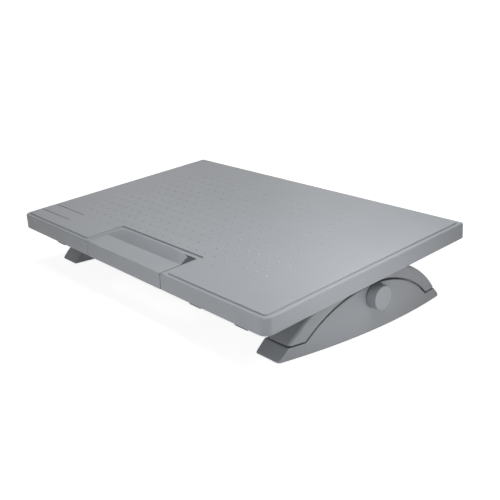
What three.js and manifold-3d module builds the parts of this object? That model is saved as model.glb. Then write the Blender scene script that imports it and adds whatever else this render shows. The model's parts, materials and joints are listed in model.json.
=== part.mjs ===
// Tilting footrest: a wide ribbed tray with a foot pedal, hinged on a cross shaft between two arched feet.
// Millimetres, +X to the sitter's right, +Y away from the sitter, +Z up, standing on the floor at z = 0.

import * as THREE from "three";
import { mergeVertices } from "three/addons/utils/BufferGeometryUtils.js";
import Module from "manifold-3d";

const wasm = await Module();
wasm.setup();

// Clearances and cutters
const seat_gap = 0.3; // between two pieces that rest on each other
const running_gap = 0.09; // round a shaft in its bore
const slide_gap = 0.5; // between the sliding arch and the foot's inner wall
const cut_overrun = 6; // how far a cutter passes the face it opens
const merge_tolerance = 0.0001;

// Facet counts
const shaft_sides = 24;
const pin_sides = 16;
const screw_sides = 8;
const bush_sides = 16;
const disc_sides = 64;
const wire_sides = 5;
const bend_steps = 3;
const long_arc_steps = 12;
const flat_arc_steps = 5;
const pad_corner_steps = 2;

// Stance
const rest_tilt_degrees = 5.25;
const pivot_height = 78; // tilt shaft above the foot bases, arches at their lowest
const rim_above_pivot = 18.1; // tray rim plane above the tilt shaft, square to the tray
const pivot_behind_centre = 18.6; // tilt shaft behind the tray's centre line
const lift_travel = 19;

// Tray
const tray_width = 560;
const tray_depth = 360;
const skirt_depth = 21.5;
const skirt_wall = 3;
const plate_wall = 2.2; // plate thickness below the rim plane
const tray_corner_radius = 11;
const tray_edge_round = 2;
const panel_rise = 1.4; // raised foot panel above the rim
const panel_inset = 6.5;
const panel_corner_radius = 5;
const panel_edge_round = 0.6;
const groove_width = 1.3;
const groove_depth = 0.6;
const groove_length = 86;
const groove_spacing = 25.4;
const groove_from_front = 28.5;

// Tray ribs
const rib_wall = 2;
const rib_depth = 8.5; // below the plate
const rib_foot_clearance = 8; // ribs stop this far inboard of the feet
const lengthwise_rib_shares = [-0.27, -0.09, 0.15, 0.27, 0.39]; // of the tray's depth, from its centre
const crosswise_rib_shares = [-0.29, -0.2, -0.105, 0.105, 0.2, 0.29]; // of the tray's width

// Pedal opening in the tray
const opening_width = 176;
const opening_depth = 57.5;
const opening_wall = 3;
const ledge_width = 7.6; // flat ledge between the opening and the raised panel

// Pedal
const pedal_side_gap = 1;
const pedal_wall = 3;
const pedal_edge_round = 1.2;
const ramp_start_from_front = 33;
const ramp_run = 16.5;
const ramp_end_rise = 2; // crest above the rim plane at the pedal's ends
const ramp_middle_rise = 9; // crest at the pedal's middle
const ramp_end_inset = 6.3; // crest's end inboard of the pedal's end
const ramp_bow_power = 6; // how suddenly the crest drops towards its ends
const ramp_fullness_share = 0.2; // how far the ramp swells over a straight slope
const ramp_crest_round = 1.4;
const ramp_slices = 8;
const ramp_back_drop = 9; // rear face below the rim plane
const pedal_rib_depth = 11;
const pedal_rib_shares = [-0.32, -0.12, 0.12, 0.32]; // of the pedal's width
const pedal_pivot_from_back = 5.7; // in front of the opening's back wall
const pedal_pivot_drop = 17; // below the rim plane
const pedal_pin_radius = 2.5;
const pedal_pin_head_radius = 4;
const pedal_pin_head = 1.6;
const cheek_radius = 4.4;
const crank_reach = 10.2; // rod hole behind the pedal's pivot
const crank_lift = 9; // rod hole above the pedal's pivot
const crank_wall = 3.5;
const crank_offset = 4.2; // inner face from the centre plane
const rod_eye_wall = 1.9;
const pedal_press_degrees = 8;

// Pull rod and its spring
const rod_radius = 1.5;
const rod_hole_gap = 0.3;
const rod_bend_radius = 3;
const rod_tail = 1.6; // rod beyond the plate it hooks into
const rod_steps = 48;
const spring_wire_radius = 0.5;
const spring_mean_radius = 3.4;
const spring_turns = 6;
const spring_length = 15.4;
const spring_steps_per_turn = 8;
const washer_radius = 4.8;
const washer_thickness = 1.2;

// Brake lever, pad and bracket
const drum_radius = 11;
const drum_length = 16;
const pad_thickness = 2.7;
const shoe_thickness = 2.5;
const pad_start_degrees = 160; // measured from the rear, over the top
const pad_end_degrees = 220;
const lever_pin_ahead = 21.4; // in front of the tilt shaft
const lever_pin_above = 6.9; // above the tilt shaft
const lever_rod_arm = 6.8; // rod below the lever's pin
const lever_plate_wall = 2.6;
const lever_plate_offset = 5.5; // inner face from the centre plane
const lever_eye_radius = 3.3;
const lever_pin_radius = 1.75;
const bracket_wall = 2;
const bracket_boss = 2.8; // bosses that hold the bracket off the plate
const bracket_half_width = 22;
const bracket_length = 43;
const bracket_end_ahead = 14; // rear edge in front of the tilt shaft
const bracket_lug_radius = 4;
const seat_wall_drop = 3.6; // spring seat below the rod

// Tilt shaft and its saddles
const tilt_shaft_radius = 6;
const tilt_shaft_bore = 4.5;
const saddle_width = 16;
const saddle_from_foot = 8.5;
const saddle_ring_wall = 4.3;
const saddle_flange_length = 42;
const saddle_flange_wall = 3.5;
const saddle_boss = 4.8;
const collar_width = 3;
const collar_wall = 3;

// Screws
const screw_shank_radius = 1.9;
const screw_head_radius = 3.5;
const screw_head_height = 2.2;
const screw_crown_share = 0.6; // flat middle of the head, of its radius
const screw_bite = 3.2; // shank inside its boss
const boss_wall = 2.2;

// Feet
const foot_length = 310;
const foot_inner_inset = 67.2; // inner face inboard of the tray's side
const foot_crown_inset = 14.5; // widest point of the bulged outer face, inboard of the tray's side
const foot_bulge_radius = 875;
const foot_draft_degrees = 2.2; // outer face leans in
const foot_wall = 2.8;
const foot_corner = 4.4;
const tip_run = 16;
const tip_nose_round = 2.2;
const lip_height = 15.3;
const foot_crown_height = 61.5;
const channel_end_margin = 4.3; // channel beyond the ends of the arched rim
const tip_pocket_inset = 3.2;
const tip_pocket_from_crown = 16;
const guide_rib_shares = [-0.32, -0.13, 0.13, 0.32]; // of the channel's length
const guide_rib_height_share = 0.55; // of the crown height

// Rubber pads
const pad_stand = 1; // pads stand this far below the foot
const foot_pad_length = 40;
const foot_pad_width = 27;
const foot_pad_recess = 1.3;
const foot_pad_corner = 5;
const foot_pad_from_end = 29;
const front_pad_length = 21;
const front_pad_height = 2.4;
const front_pad_tongue = 8;
const front_pad_wall = 1.5;
const front_pad_place_shares = [-0.302, 0.275, 0.4232]; // of the tray's width, from its centre

// Sliding arches
const arch_crown_height = 81.3;
const arch_radius = 183;
const arch_band = 20; // height of the arch's outer face above the foot's rim
const arch_lip_gap = 1.8; // between the arch's flange and the foot's rim below it
const guide_inset = 11.5; // outer side of the sliding guide, inboard of the foot's crown
const arch_wall = 2.8;
const arch_edge_round = 4.2;
const guide_end_margin = 6.7; // guide inboard of the ends of the arched rim
const guide_bottom = 6;
const arch_lug_radius = 9.4;
const shaft_seat_wall = 8;

// Rack and pinion
const knob_height = 46.5;
const gear_module = 1.25;
const pinion_teeth = 12;
const pressure_degrees = 25;
const dedendum_share = 1.25; // tooth root below the pitch line, of the module
const backlash = 0.36;
const pinion_width = 12;
const pinion_from_arch_face = 8;
const rack_back = 5;
const rack_end_margin = 7;
const lift_shaft_radius = 4;
const slot_gap = 0.6;

// Knobs and bushes
const knob_radius = 16.7;
const knob_face_radius = 15.8;
const knob_reach = 12.5; // beyond the foot's crown
const knob_round = 2;
const knob_crown = 0.5;
const knob_skin = 4;
const knob_sides = 28;
const bush_radius = 6.8;
const bush_flange_radius = 9.5;
const bush_flange = 1.8;

const radians = (degrees) => (degrees * Math.PI) / 180;

// Solids

function toSolid(geometry) {
  const plain = geometry.clone();
  plain.deleteAttribute("normal");
  plain.deleteAttribute("uv");
  const merged = mergeVertices(plain, merge_tolerance);
  const vertProperties = new Float32Array(merged.attributes.position.array);
  const triVerts = new Uint32Array(merged.index.array);
  return new wasm.Manifold(new wasm.Mesh({ numProp: 3, vertProperties, triVerts }));
}

function toGeometry(solid) {
  const mesh = solid.getMesh();
  const geometry = new THREE.BufferGeometry();
  geometry.setAttribute("position", new THREE.BufferAttribute(new Float32Array(mesh.vertProperties), 3));
  geometry.setIndex(new THREE.BufferAttribute(new Uint32Array(mesh.triVerts), 1));
  geometry.computeVertexNormals();
  return geometry;
}

function join(...solids) {
  return solids.reduce((whole, piece) => whole.add(piece));
}

function cut(body, ...tools) {
  return tools.reduce((whole, tool) => whole.subtract(tool), body);
}

// The same shape on the other side of the centre plane, faces still pointing out.
function mirrored(geometry) {
  const copy = geometry.clone();
  const position = copy.attributes.position;
  for (let i = 0; i < position.count; i += 1) {
    position.setX(i, -position.getX(i));
  }
  const index = copy.index.array;
  for (let i = 0; i < index.length; i += 3) {
    const second = index[i + 1];
    index[i + 1] = index[i + 2];
    index[i + 2] = second;
  }
  copy.computeVertexNormals();
  return copy;
}

function box(x_range, y_range, z_range) {
  const size = [x_range, y_range, z_range].map(([low, high]) => high - low);
  const middle = [x_range, y_range, z_range].map(([low, high]) => (low + high) / 2);
  const geometry = new THREE.BoxGeometry(...size);
  geometry.translate(...middle);
  return toSolid(geometry);
}

// A shape drawn in X and Y, raised from z_low to z_high.
function raised(shape, z_low, z_high, options = {}) {
  const round = options.round ?? 0;
  const geometry = new THREE.ExtrudeGeometry(shape, {
    depth: z_high - z_low - 2 * round,
    curveSegments: options.steps ?? bend_steps,
    steps: options.slices ?? 1,
    bevelEnabled: round > 0,
    bevelThickness: round,
    bevelSize: round,
    bevelOffset: -round,
    bevelSegments: options.round_steps ?? 2,
  });
  geometry.translate(0, 0, z_low + round);
  return geometry;
}

// A shape drawn in Y and Z, carried along X from x_low to x_high.
function carried(shape, x_low, x_high, options = {}) {
  const geometry = raised(shape, x_low, x_high, options);
  const turn = new THREE.Matrix4().set(0, 0, 1, 0, 1, 0, 0, 0, 0, 1, 0, 0, 0, 0, 0, 1);
  geometry.applyMatrix4(turn);
  return geometry;
}

function sidesFor(radius) {
  return radius < lift_shaft_radius ? pin_sides : shaft_sides;
}

function barAlongX(radius, x_low, x_high, y, z, sides = sidesFor(radius)) {
  const geometry = new THREE.CylinderGeometry(radius, radius, x_high - x_low, sides);
  geometry.rotateZ(Math.PI / 2);
  geometry.translate((x_low + x_high) / 2, y, z);
  return toSolid(geometry);
}

function postAlongZ(radius, z_low, z_high, x, y, sides = screw_sides) {
  const geometry = new THREE.CylinderGeometry(radius, radius, z_high - z_low, sides);
  geometry.rotateX(Math.PI / 2);
  geometry.translate(x, y, (z_low + z_high) / 2);
  return toSolid(geometry);
}

// A closed outline through corners, each rounded by its own radius.
function roundedOutline(corners) {
  const shape = new THREE.Shape();
  const count = corners.length;
  corners.forEach(([x, y, radius], i) => {
    const here = new THREE.Vector2(x, y);
    const before = new THREE.Vector2(...corners[(i + count - 1) % count].slice(0, 2));
    const after = new THREE.Vector2(...corners[(i + 1) % count].slice(0, 2));
    const incoming = before.sub(here).normalize();
    const outgoing = after.sub(here).normalize();
    const half_angle = Math.acos(THREE.MathUtils.clamp(incoming.dot(outgoing), -1, 1)) / 2;
    const reach = radius / Math.tan(half_angle);
    const first = here.clone().addScaledVector(incoming, reach);
    const last = here.clone().addScaledVector(outgoing, reach);
    if (i === 0) {
      shape.moveTo(first.x, first.y);
    } else {
      shape.lineTo(first.x, first.y);
    }
    if (radius > 0) {
      addCornerArc(shape, here, incoming, outgoing, half_angle, radius, first, last);
    }
  });
  shape.closePath();
  return shape;
}

function addCornerArc(shape, corner, incoming, outgoing, half_angle, radius, first, last) {
  const middle = incoming.clone().add(outgoing).normalize();
  const centre = corner.clone().addScaledVector(middle, radius / Math.sin(half_angle));
  const start = Math.atan2(first.y - centre.y, first.x - centre.x);
  const end = Math.atan2(last.y - centre.y, last.x - centre.x);
  const clockwise = incoming.x * outgoing.y - incoming.y * outgoing.x > 0;
  shape.absarc(centre.x, centre.y, radius, start, end, clockwise);
}

function rectangle(x_range, y_range, radius) {
  return roundedOutline([
    [x_range[0], y_range[0], radius],
    [x_range[1], y_range[0], radius],
    [x_range[1], y_range[1], radius],
    [x_range[0], y_range[1], radius],
  ]);
}

// A dome outline: a circular arc over a straight base, drawn from -half to +half.
function domeShape(radius, crown, base) {
  const centre = crown - radius;
  const half = Math.sqrt(radius ** 2 - (base - centre) ** 2);
  const end = Math.atan2(base - centre, half);
  const shape = new THREE.Shape();
  shape.moveTo(-half, base);
  shape.absarc(0, centre, radius, Math.PI - end, end, true);
  shape.closePath();
  return shape;
}

function ringSector(y, z, inner, outer, start_degrees, end_degrees) {
  const shape = new THREE.Shape();
  shape.absarc(y, z, outer, radians(start_degrees), radians(end_degrees), false);
  shape.absarc(y, z, inner, radians(end_degrees), radians(start_degrees), true);
  shape.closePath();
  return shape;
}

// Derived places, tray frame: origin at the centre of the rim plane
const shaft_y = pivot_behind_centre;
const shaft_z = -rim_above_pivot;
const tray_front = -tray_depth / 2;
const opening_back = tray_front + opening_depth;
const plate_under = -plate_wall;
const pedal_pivot_y = opening_back - pedal_pivot_from_back;
const pedal_pivot_z = -pedal_pivot_drop;
const crank_y = pedal_pivot_y + crank_reach;
const crank_z = pedal_pivot_z + crank_lift;
const crank_eye_radius = rod_radius + rod_hole_gap + rod_eye_wall;
const crank_slot = crank_reach * Math.sin(radians(pedal_press_degrees));
const lever_y = shaft_y - lever_pin_ahead;
const lever_z = shaft_z + lever_pin_above;
const rod_z = lever_z - lever_rod_arm;
const bracket_rear = shaft_y - bracket_end_ahead;
const bracket_front = bracket_rear - bracket_length;
const bracket_top = plate_under - bracket_boss - seat_gap;
const spring_front = bracket_front + bracket_wall + seat_gap;
const washer_front = spring_front + spring_length + seat_gap;
const foot_inner_face = tray_width / 2 - foot_inner_inset;
const foot_outer_crown = tray_width / 2 - foot_crown_inset;
const foot_zone = foot_inner_face - rib_foot_clearance;
const saddle_outer = foot_inner_face - saddle_from_foot;
const saddle_inner = saddle_outer - saddle_width;
const saddle_top = plate_under - saddle_boss - seat_gap;
const saddle_screw_reach = saddle_flange_length / 2 - screw_head_radius - boss_wall;
const boss_radius = screw_shank_radius + boss_wall;
const bracket_screw_x = bracket_half_width - screw_head_radius - rib_wall;
const bracket_screw_y = bracket_front + bracket_length / 2;

// Derived places, foot frame: origin between the feet, level with their bottom edges
const foot_arc_radius = arch_radius - arch_band;
const arch_base = lip_height + arch_lip_gap;
const arch_centre = arch_crown_height - arch_radius;
const foot_arc_centre = foot_crown_height - foot_arc_radius;
const foot_rim_half = Math.sqrt(foot_arc_radius ** 2 - (lip_height - foot_arc_centre) ** 2);
const channel_length = 2 * (foot_rim_half + channel_end_margin);
const guide_half = foot_rim_half - guide_end_margin;
const foot_lean = Math.tan(radians(foot_draft_degrees));
const foot_middle = (foot_inner_face + foot_outer_crown) / 2;
const arch_inner_face = foot_inner_face + foot_wall + slide_gap;
const guide_outer_face = foot_outer_crown - guide_inset;
const foot_face_at_knob = foot_outer_crown - knob_height * foot_lean;
const pitch_radius = (gear_module * pinion_teeth) / 2;
const knob_face = foot_outer_crown + knob_reach;
const shaft_seat_end = guide_outer_face - shaft_seat_wall;

// Tray

function pedalOpening(margin, low, high) {
  const x_range = [-opening_width / 2 - margin, opening_width / 2 + margin];
  return box(x_range, [tray_front - cut_overrun, opening_back + margin], [low, high]);
}

function trayShell() {
  const half_width = tray_width / 2;
  const half_depth = tray_depth / 2;
  const plan = rectangle([-half_width, half_width], [-half_depth, half_depth], tray_corner_radius);
  const block = toSolid(raised(plan, -skirt_depth - cut_overrun, 0, { round: tray_edge_round }));
  const trim = box(
    [-tray_width, tray_width],
    [-tray_depth, tray_depth],
    [-skirt_depth - 2 * cut_overrun, -skirt_depth],
  );
  return cut(block, trim);
}

function raisedPanel() {
  const x = tray_width / 2 - panel_inset;
  const front = tray_front + panel_inset;
  const back = tray_depth / 2 - panel_inset;
  const notch_x = opening_width / 2 + ledge_width;
  const notch_y = opening_back + ledge_width;
  const plan = roundedOutline([
    [-x, front, panel_corner_radius],
    [-notch_x, front, panel_corner_radius],
    [-notch_x, notch_y, panel_corner_radius],
    [notch_x, notch_y, panel_corner_radius],
    [notch_x, front, panel_corner_radius],
    [x, front, panel_corner_radius],
    [x, back, panel_corner_radius],
    [-x, back, panel_corner_radius],
  ]);
  return toSolid(raised(plan, -plate_wall, panel_rise, { round: panel_edge_round, round_steps: 1 }));
}

function trayPocket() {
  const x = tray_width / 2 - skirt_wall;
  const y = tray_depth / 2 - skirt_wall;
  const plan = rectangle([-x, x], [-y, y], tray_corner_radius - skirt_wall);
  return toSolid(raised(plan, -skirt_depth - cut_overrun, plate_under));
}

function trayRibs() {
  const half_depth = tray_depth / 2 - skirt_wall / 2;
  const z_range = [plate_under - rib_depth, -plate_wall / 2];
  const ribs = [];
  for (const share of lengthwise_rib_shares) {
    const y = share * tray_depth;
    ribs.push(box([-foot_zone, foot_zone], [y - rib_wall / 2, y + rib_wall / 2], z_range));
  }
  for (const share of crosswise_rib_shares) {
    const x = share * tray_width;
    ribs.push(box([x - rib_wall / 2, x + rib_wall / 2], [-half_depth, half_depth], z_range));
  }
  return cut(join(...ribs), ...ribClearings());
}

// Room in the rib grid for the saddles, the brake bracket, the pull rod and the pedal's crank.
function ribClearings() {
  const z_range = [plate_under - 2 * rib_depth, plate_under];
  const saddle_y = saddle_flange_length / 2 + rib_wall;
  const clearings = [-1, 1].map((side) => {
    const ends = [side * (saddle_inner - rib_wall), side * (foot_zone + rib_wall)];
    ends.sort((a, b) => a - b);
    return box(ends, [shaft_y - saddle_y, shaft_y + saddle_y], z_range);
  });
  const bracket_x = bracket_half_width + rib_wall;
  const drum_reach = drum_radius + rib_wall;
  clearings.push(box([-bracket_x, bracket_x], [bracket_front - rib_wall, shaft_y + drum_reach], z_range));
  const rod_room = crank_offset + crank_wall + rib_wall;
  clearings.push(box([-rod_room, rod_room], [opening_back, bracket_front], z_range));
  return clearings;
}

function openingWalls() {
  const outer = pedalOpening(opening_wall, -skirt_depth, 0);
  const inside = box(
    [-tray_width / 2, tray_width / 2],
    [tray_front + skirt_wall / 2, tray_depth / 2],
    [-skirt_depth - cut_overrun, -plate_wall / 2],
  );
  return outer.intersect(inside);
}

function crankSlot() {
  const side_room = rod_hole_gap + seat_gap;
  return box(
    [-rod_radius - side_room, crank_offset + crank_wall + rod_tail + side_room],
    [opening_back - opening_wall, opening_back + 2 * opening_wall],
    [-skirt_depth - cut_overrun, plate_under - seat_gap],
  );
}

function pedalPinBores() {
  const reach = opening_width / 2;
  return [-1, 1].map((side) => {
    const ends = [side * (reach - opening_wall), side * (reach + 2 * opening_wall)].sort((a, b) => a - b);
    return barAlongX(pedal_pin_radius + running_gap, ...ends, pedal_pivot_y, pedal_pivot_z);
  });
}

// The two screws of the saddle on one side of the centre plane.
function saddleScrews(side) {
  const x = (side * (saddle_inner + saddle_outer)) / 2;
  return [-1, 1].map((end) => {
    const y = shaft_y + end * saddle_screw_reach;
    return { x, y, boss: saddle_boss, plate: saddle_flange_wall };
  });
}

function bracketScrews() {
  return [-1, 1].map((side) => {
    return { x: side * bracket_screw_x, y: bracket_screw_y, boss: bracket_boss, plate: bracket_wall };
  });
}

function screwPlaces() {
  return [...saddleScrews(-1), ...saddleScrews(1), ...bracketScrews()];
}

function screwBosses() {
  return screwPlaces().map(({ x, y, boss }) =>
    postAlongZ(boss_radius, plate_under - boss, -plate_wall / 2, x, y),
  );
}

// Clearance holes for screws, through the plates that they hold.
function screwBores(places) {
  return places.map(({ x, y }) => postAlongZ(screw_shank_radius + seat_gap, -skirt_depth, 0, x, y));
}

function screwPilots() {
  return screwPlaces().map(({ x, y, boss }) => {
    const low = plate_under - boss;
    return postAlongZ(screw_shank_radius + running_gap, low - cut_overrun, low + screw_bite + seat_gap, x, y);
  });
}

function panelGrooves() {
  const left = -tray_width / 2 + panel_inset;
  return [1, 2].map((number) => {
    const y = tray_front + groove_from_front + (number - 1) * groove_spacing;
    return box(
      [left - panel_inset / 2, left + groove_length],
      [y - groove_width / 2, y + groove_width / 2],
      [panel_rise - groove_depth, panel_rise + cut_overrun],
    );
  });
}

function trayGeometry() {
  const outside = join(trayShell(), raisedPanel());
  const hollow = cut(outside, trayPocket());
  const ribbed = join(hollow, trayRibs(), openingWalls(), ...screwBosses());
  const opened = cut(ribbed, pedalOpening(0, -skirt_depth - cut_overrun, panel_rise + cut_overrun));
  return toGeometry(cut(opened, crankSlot(), ...pedalPinBores(), ...screwPilots(), ...panelGrooves()));
}

// Pedal

// Top of the pedal, from its flat part up a slightly full slope to the crest.
function pedalTop(shape, ramp_foot, crest) {
  const bulge = ramp_fullness_share * ramp_end_rise;
  const crest_start = crest - ramp_crest_round;
  shape.lineTo(ramp_foot, 0);
  shape.quadraticCurveTo(
    (ramp_foot + crest) / 2,
    ramp_end_rise / 2 + 2 * bulge,
    crest_start,
    ramp_end_rise,
  );
  shape.quadraticCurveTo(crest, ramp_end_rise, crest, ramp_end_rise - ramp_crest_round);
}

function pedalSection() {
  const front = tray_front;
  const ramp_foot = front + ramp_start_from_front;
  const crest = ramp_foot + ramp_run;
  const inner_foot = ramp_foot + pedal_wall / 4;
  const shape = new THREE.Shape();
  shape.moveTo(front, -skirt_depth);
  shape.lineTo(front, -pedal_edge_round);
  shape.quadraticCurveTo(front, 0, front + pedal_edge_round, 0);
  pedalTop(shape, ramp_foot, crest);
  shape.lineTo(crest, -ramp_back_drop);
  shape.lineTo(crest - pedal_wall, -ramp_back_drop);
  shape.lineTo(crest - pedal_wall, ramp_end_rise - pedal_wall);
  shape.lineTo(inner_foot, -pedal_wall);
  shape.lineTo(front + pedal_wall, -pedal_wall);
  shape.lineTo(front + pedal_wall, -skirt_depth);
  shape.closePath();
  return shape;
}

// Lifts the ramp towards the pedal's middle, so that its crest is a bow. Stations gather near the ends.
function bowRamp(geometry, half) {
  const position = geometry.attributes.position;
  const ramp_foot = tray_front + ramp_start_from_front;
  for (let i = 0; i < position.count; i += 1) {
    const along = Math.sin((Math.PI / 2) * (position.getX(i) / half));
    const up_share = THREE.MathUtils.clamp((position.getY(i) - ramp_foot) / ramp_run, 0, 1);
    const lift = (ramp_middle_rise - ramp_end_rise) * (1 - Math.abs(along) ** ramp_bow_power) * up_share;
    position.setX(i, half * along);
    position.setZ(i, position.getZ(i) + lift);
  }
  return geometry;
}

// The ramp as a filled block down to its rear face's lower edge.
function rampShape() {
  const ramp_foot = tray_front + ramp_start_from_front;
  const crest = ramp_foot + ramp_run;
  const shape = new THREE.Shape();
  shape.moveTo(ramp_foot, -ramp_back_drop);
  pedalTop(shape, ramp_foot, crest);
  shape.lineTo(crest, -ramp_back_drop);
  shape.closePath();
  return shape;
}

// Upright prism beyond one slanted end of the ramp, from a distance inside the end's face outwards.
function beyondRampEnd(side, half, inside) {
  const ramp_foot = tray_front + ramp_start_from_front;
  const slope = ramp_end_inset / ramp_run;
  const at = (y) => side * (half - inside - (y - ramp_foot) * slope);
  const rear = ramp_foot + ramp_run + cut_overrun;
  const outer = side * (half + cut_overrun);
  const shape = new THREE.Shape();
  shape.moveTo(at(ramp_foot), ramp_foot);
  shape.lineTo(at(rear), rear);
  shape.lineTo(outer, rear);
  shape.lineTo(outer, ramp_foot);
  shape.closePath();
  return toSolid(raised(shape, -ramp_back_drop, ramp_middle_rise + cut_overrun));
}

function cheekShape() {
  const front = tray_front + pedal_wall / 2;
  const crest = tray_front + ramp_start_from_front + ramp_run;
  const shape = new THREE.Shape();
  shape.moveTo(front, -pedal_wall / 2);
  shape.lineTo(front, pedal_pivot_z);
  shape.lineTo(pedal_pivot_y, pedal_pivot_z - cheek_radius);
  shape.absarc(pedal_pivot_y, pedal_pivot_z, cheek_radius, -Math.PI / 2, Math.PI / 6, false);
  shape.lineTo(crest, -ramp_back_drop);
  shape.lineTo(tray_front + ramp_start_from_front, -pedal_wall / 2);
  shape.closePath();
  return shape;
}

function crankShape() {
  const crest = tray_front + ramp_start_from_front + ramp_run;
  const shape = new THREE.Shape();
  shape.moveTo(tray_front + ramp_start_from_front, -pedal_wall / 2);
  shape.lineTo(tray_front + ramp_start_from_front, pedal_pivot_z / 2);
  shape.lineTo(pedal_pivot_y, pedal_pivot_z + crank_lift / 4);
  shape.lineTo(crank_y, crank_z - crank_eye_radius - crank_slot / 2);
  shape.absarc(crank_y, crank_z - crank_slot / 2, crank_eye_radius, -Math.PI / 2, Math.PI / 2, false);
  shape.lineTo(opening_back - seat_gap, crank_z - crank_slot / 2 + crank_eye_radius);
  shape.lineTo(crest - pedal_wall / 2, ramp_end_rise - pedal_wall / 2);
  shape.closePath();
  return shape;
}

// Upright slot for the rod's hook, which lies at its top at rest and at its foot when the pedal is pressed.
function crankSlotCutter() {
  const width = rod_radius + rod_hole_gap;
  const shape = rectangle(
    [crank_y - width, crank_y + width],
    [crank_z - crank_slot - width, crank_z + width],
    width - merge_tolerance,
  );
  return toSolid(carried(shape, 0, crank_offset + crank_wall + cut_overrun));
}

function pedalGeometry() {
  const half = opening_width / 2 - pedal_side_gap;
  const plate_geometry = carried(pedalSection(), -half, half, { steps: bend_steps, slices: ramp_slices });
  const block_geometry = carried(rampShape(), -half, half, { steps: bend_steps, slices: ramp_slices });
  const block = toSolid(bowRamp(block_geometry, half));
  const ends = [-1, 1].map((side) => block.intersect(beyondRampEnd(side, half, pedal_wall)));
  const corners = [-1, 1].map((side) => beyondRampEnd(side, half, 0));
  const plate = cut(join(toSolid(bowRamp(plate_geometry, half)), ...ends), ...corners);
  const cheeks = [-half, half - pedal_wall].map((x) => toSolid(carried(cheekShape(), x, x + pedal_wall)));
  const ribs = pedal_rib_shares.map((share) => {
    const x = share * opening_width;
    const back = tray_front + ramp_start_from_front;
    return box(
      [x - rib_wall / 2, x + rib_wall / 2],
      [tray_front + pedal_wall / 2, back],
      [-pedal_wall / 2 - pedal_rib_depth, -pedal_wall / 2],
    );
  });
  const crank = toSolid(carried(crankShape(), crank_offset, crank_offset + crank_wall));
  const whole = join(plate, ...cheeks, ...ribs, crank);
  const bore = barAlongX(pedal_pin_radius + running_gap, -tray_width, tray_width, pedal_pivot_y, pedal_pivot_z);
  return toGeometry(cut(whole, bore, crankSlotCutter()));
}

function pedalPinGeometry() {
  const wall_outer = opening_width / 2 + opening_wall;
  const tip = opening_width / 2 - pedal_side_gap - pedal_wall;
  const stem = barAlongX(pedal_pin_radius, tip, wall_outer + seat_gap, pedal_pivot_y, pedal_pivot_z);
  const head_start = wall_outer + seat_gap;
  const head_end = head_start + pedal_pin_head;
  const head = barAlongX(pedal_pin_head_radius, head_start, head_end, pedal_pivot_y, pedal_pivot_z);
  return toGeometry(join(stem, head));
}

// Front edge pads

function frontPadShape() {
  const outer = tray_front + skirt_wall / 4;
  const inner = tray_front + skirt_wall + seat_gap;
  const under = -skirt_depth - seat_gap;
  const shape = new THREE.Shape();
  shape.moveTo(outer, under);
  shape.lineTo(outer, under - front_pad_height);
  shape.lineTo(inner + front_pad_wall, under - front_pad_height);
  shape.lineTo(inner + front_pad_wall, under + front_pad_tongue);
  shape.lineTo(inner, under + front_pad_tongue);
  shape.lineTo(inner, under);
  shape.closePath();
  return shape;
}

function frontPadGeometry(x) {
  return carried(frontPadShape(), x - front_pad_length / 2, x + front_pad_length / 2);
}

// Pull rod, washer and spring

// Round wire carried along a curve.
function wireAlong(path, radius, steps) {
  const section = new THREE.Shape();
  for (let side = 0; side < wire_sides; side += 1) {
    const angle = (2 * Math.PI * side) / wire_sides;
    const corner = [radius * Math.cos(angle), radius * Math.sin(angle)];
    if (side === 0) {
      section.moveTo(...corner);
    } else {
      section.lineTo(...corner);
    }
  }
  section.closePath();
  return new THREE.ExtrudeGeometry(section, { steps, extrudePath: path });
}

// One bent wire: hooked through the crank, along the tray, down to the brake's height, hooked through the lever.
class RodPath extends THREE.CurvePath {
  constructor() {
    super();
    const hook_end = crank_offset + crank_wall + rod_tail;
    const lever_end = lever_plate_offset + lever_plate_wall + rod_tail;
    const slope = 2 * (crank_z - rod_z);
    const turn_down = crank_y + slope;
    const corners = [
      new THREE.Vector3(hook_end, crank_y, crank_z),
      new THREE.Vector3(0, crank_y, crank_z),
      new THREE.Vector3(0, turn_down, crank_z),
      new THREE.Vector3(0, turn_down + slope, rod_z),
      new THREE.Vector3(0, lever_y, rod_z),
      new THREE.Vector3(lever_end, lever_y, rod_z),
    ];
    this.addRounded(corners);
  }

  addRounded(corners) {
    let from = corners[0];
    for (let i = 1; i < corners.length - 1; i += 1) {
      const corner = corners[i];
      const entry = corner.clone().sub(corners[i - 1]).normalize().multiplyScalar(-rod_bend_radius).add(corner);
      const exit = corner.clone().sub(corners[i + 1]).normalize().multiplyScalar(-rod_bend_radius).add(corner);
      this.add(new THREE.LineCurve3(from, entry));
      this.add(new THREE.QuadraticBezierCurve3(entry, corner, exit));
      from = exit;
    }
    this.add(new THREE.LineCurve3(from, corners[corners.length - 1]));
  }
}

function rodGeometry() {
  return wireAlong(new RodPath(), rod_radius, rod_steps);
}

function washerGeometry() {
  const profile = [
    new THREE.Vector2(rod_radius + running_gap, 0),
    new THREE.Vector2(washer_radius, 0),
    new THREE.Vector2(washer_radius, washer_thickness),
    new THREE.Vector2(rod_radius + running_gap, washer_thickness),
    new THREE.Vector2(rod_radius + running_gap, 0),
  ];
  const geometry = new THREE.LatheGeometry(profile, 2 * screw_sides);
  geometry.translate(0, washer_front, rod_z);
  return toGeometry(toSolid(geometry));
}

class SpringPath extends THREE.Curve {
  getPoint(share, target = new THREE.Vector3()) {
    const angle = 2 * Math.PI * spring_turns * share;
    const run = spring_length - 2 * spring_wire_radius;
    const x = spring_mean_radius * Math.cos(angle);
    const z = rod_z + spring_mean_radius * Math.sin(angle);
    return target.set(x, spring_front + spring_wire_radius + run * share, z);
  }
}

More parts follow.
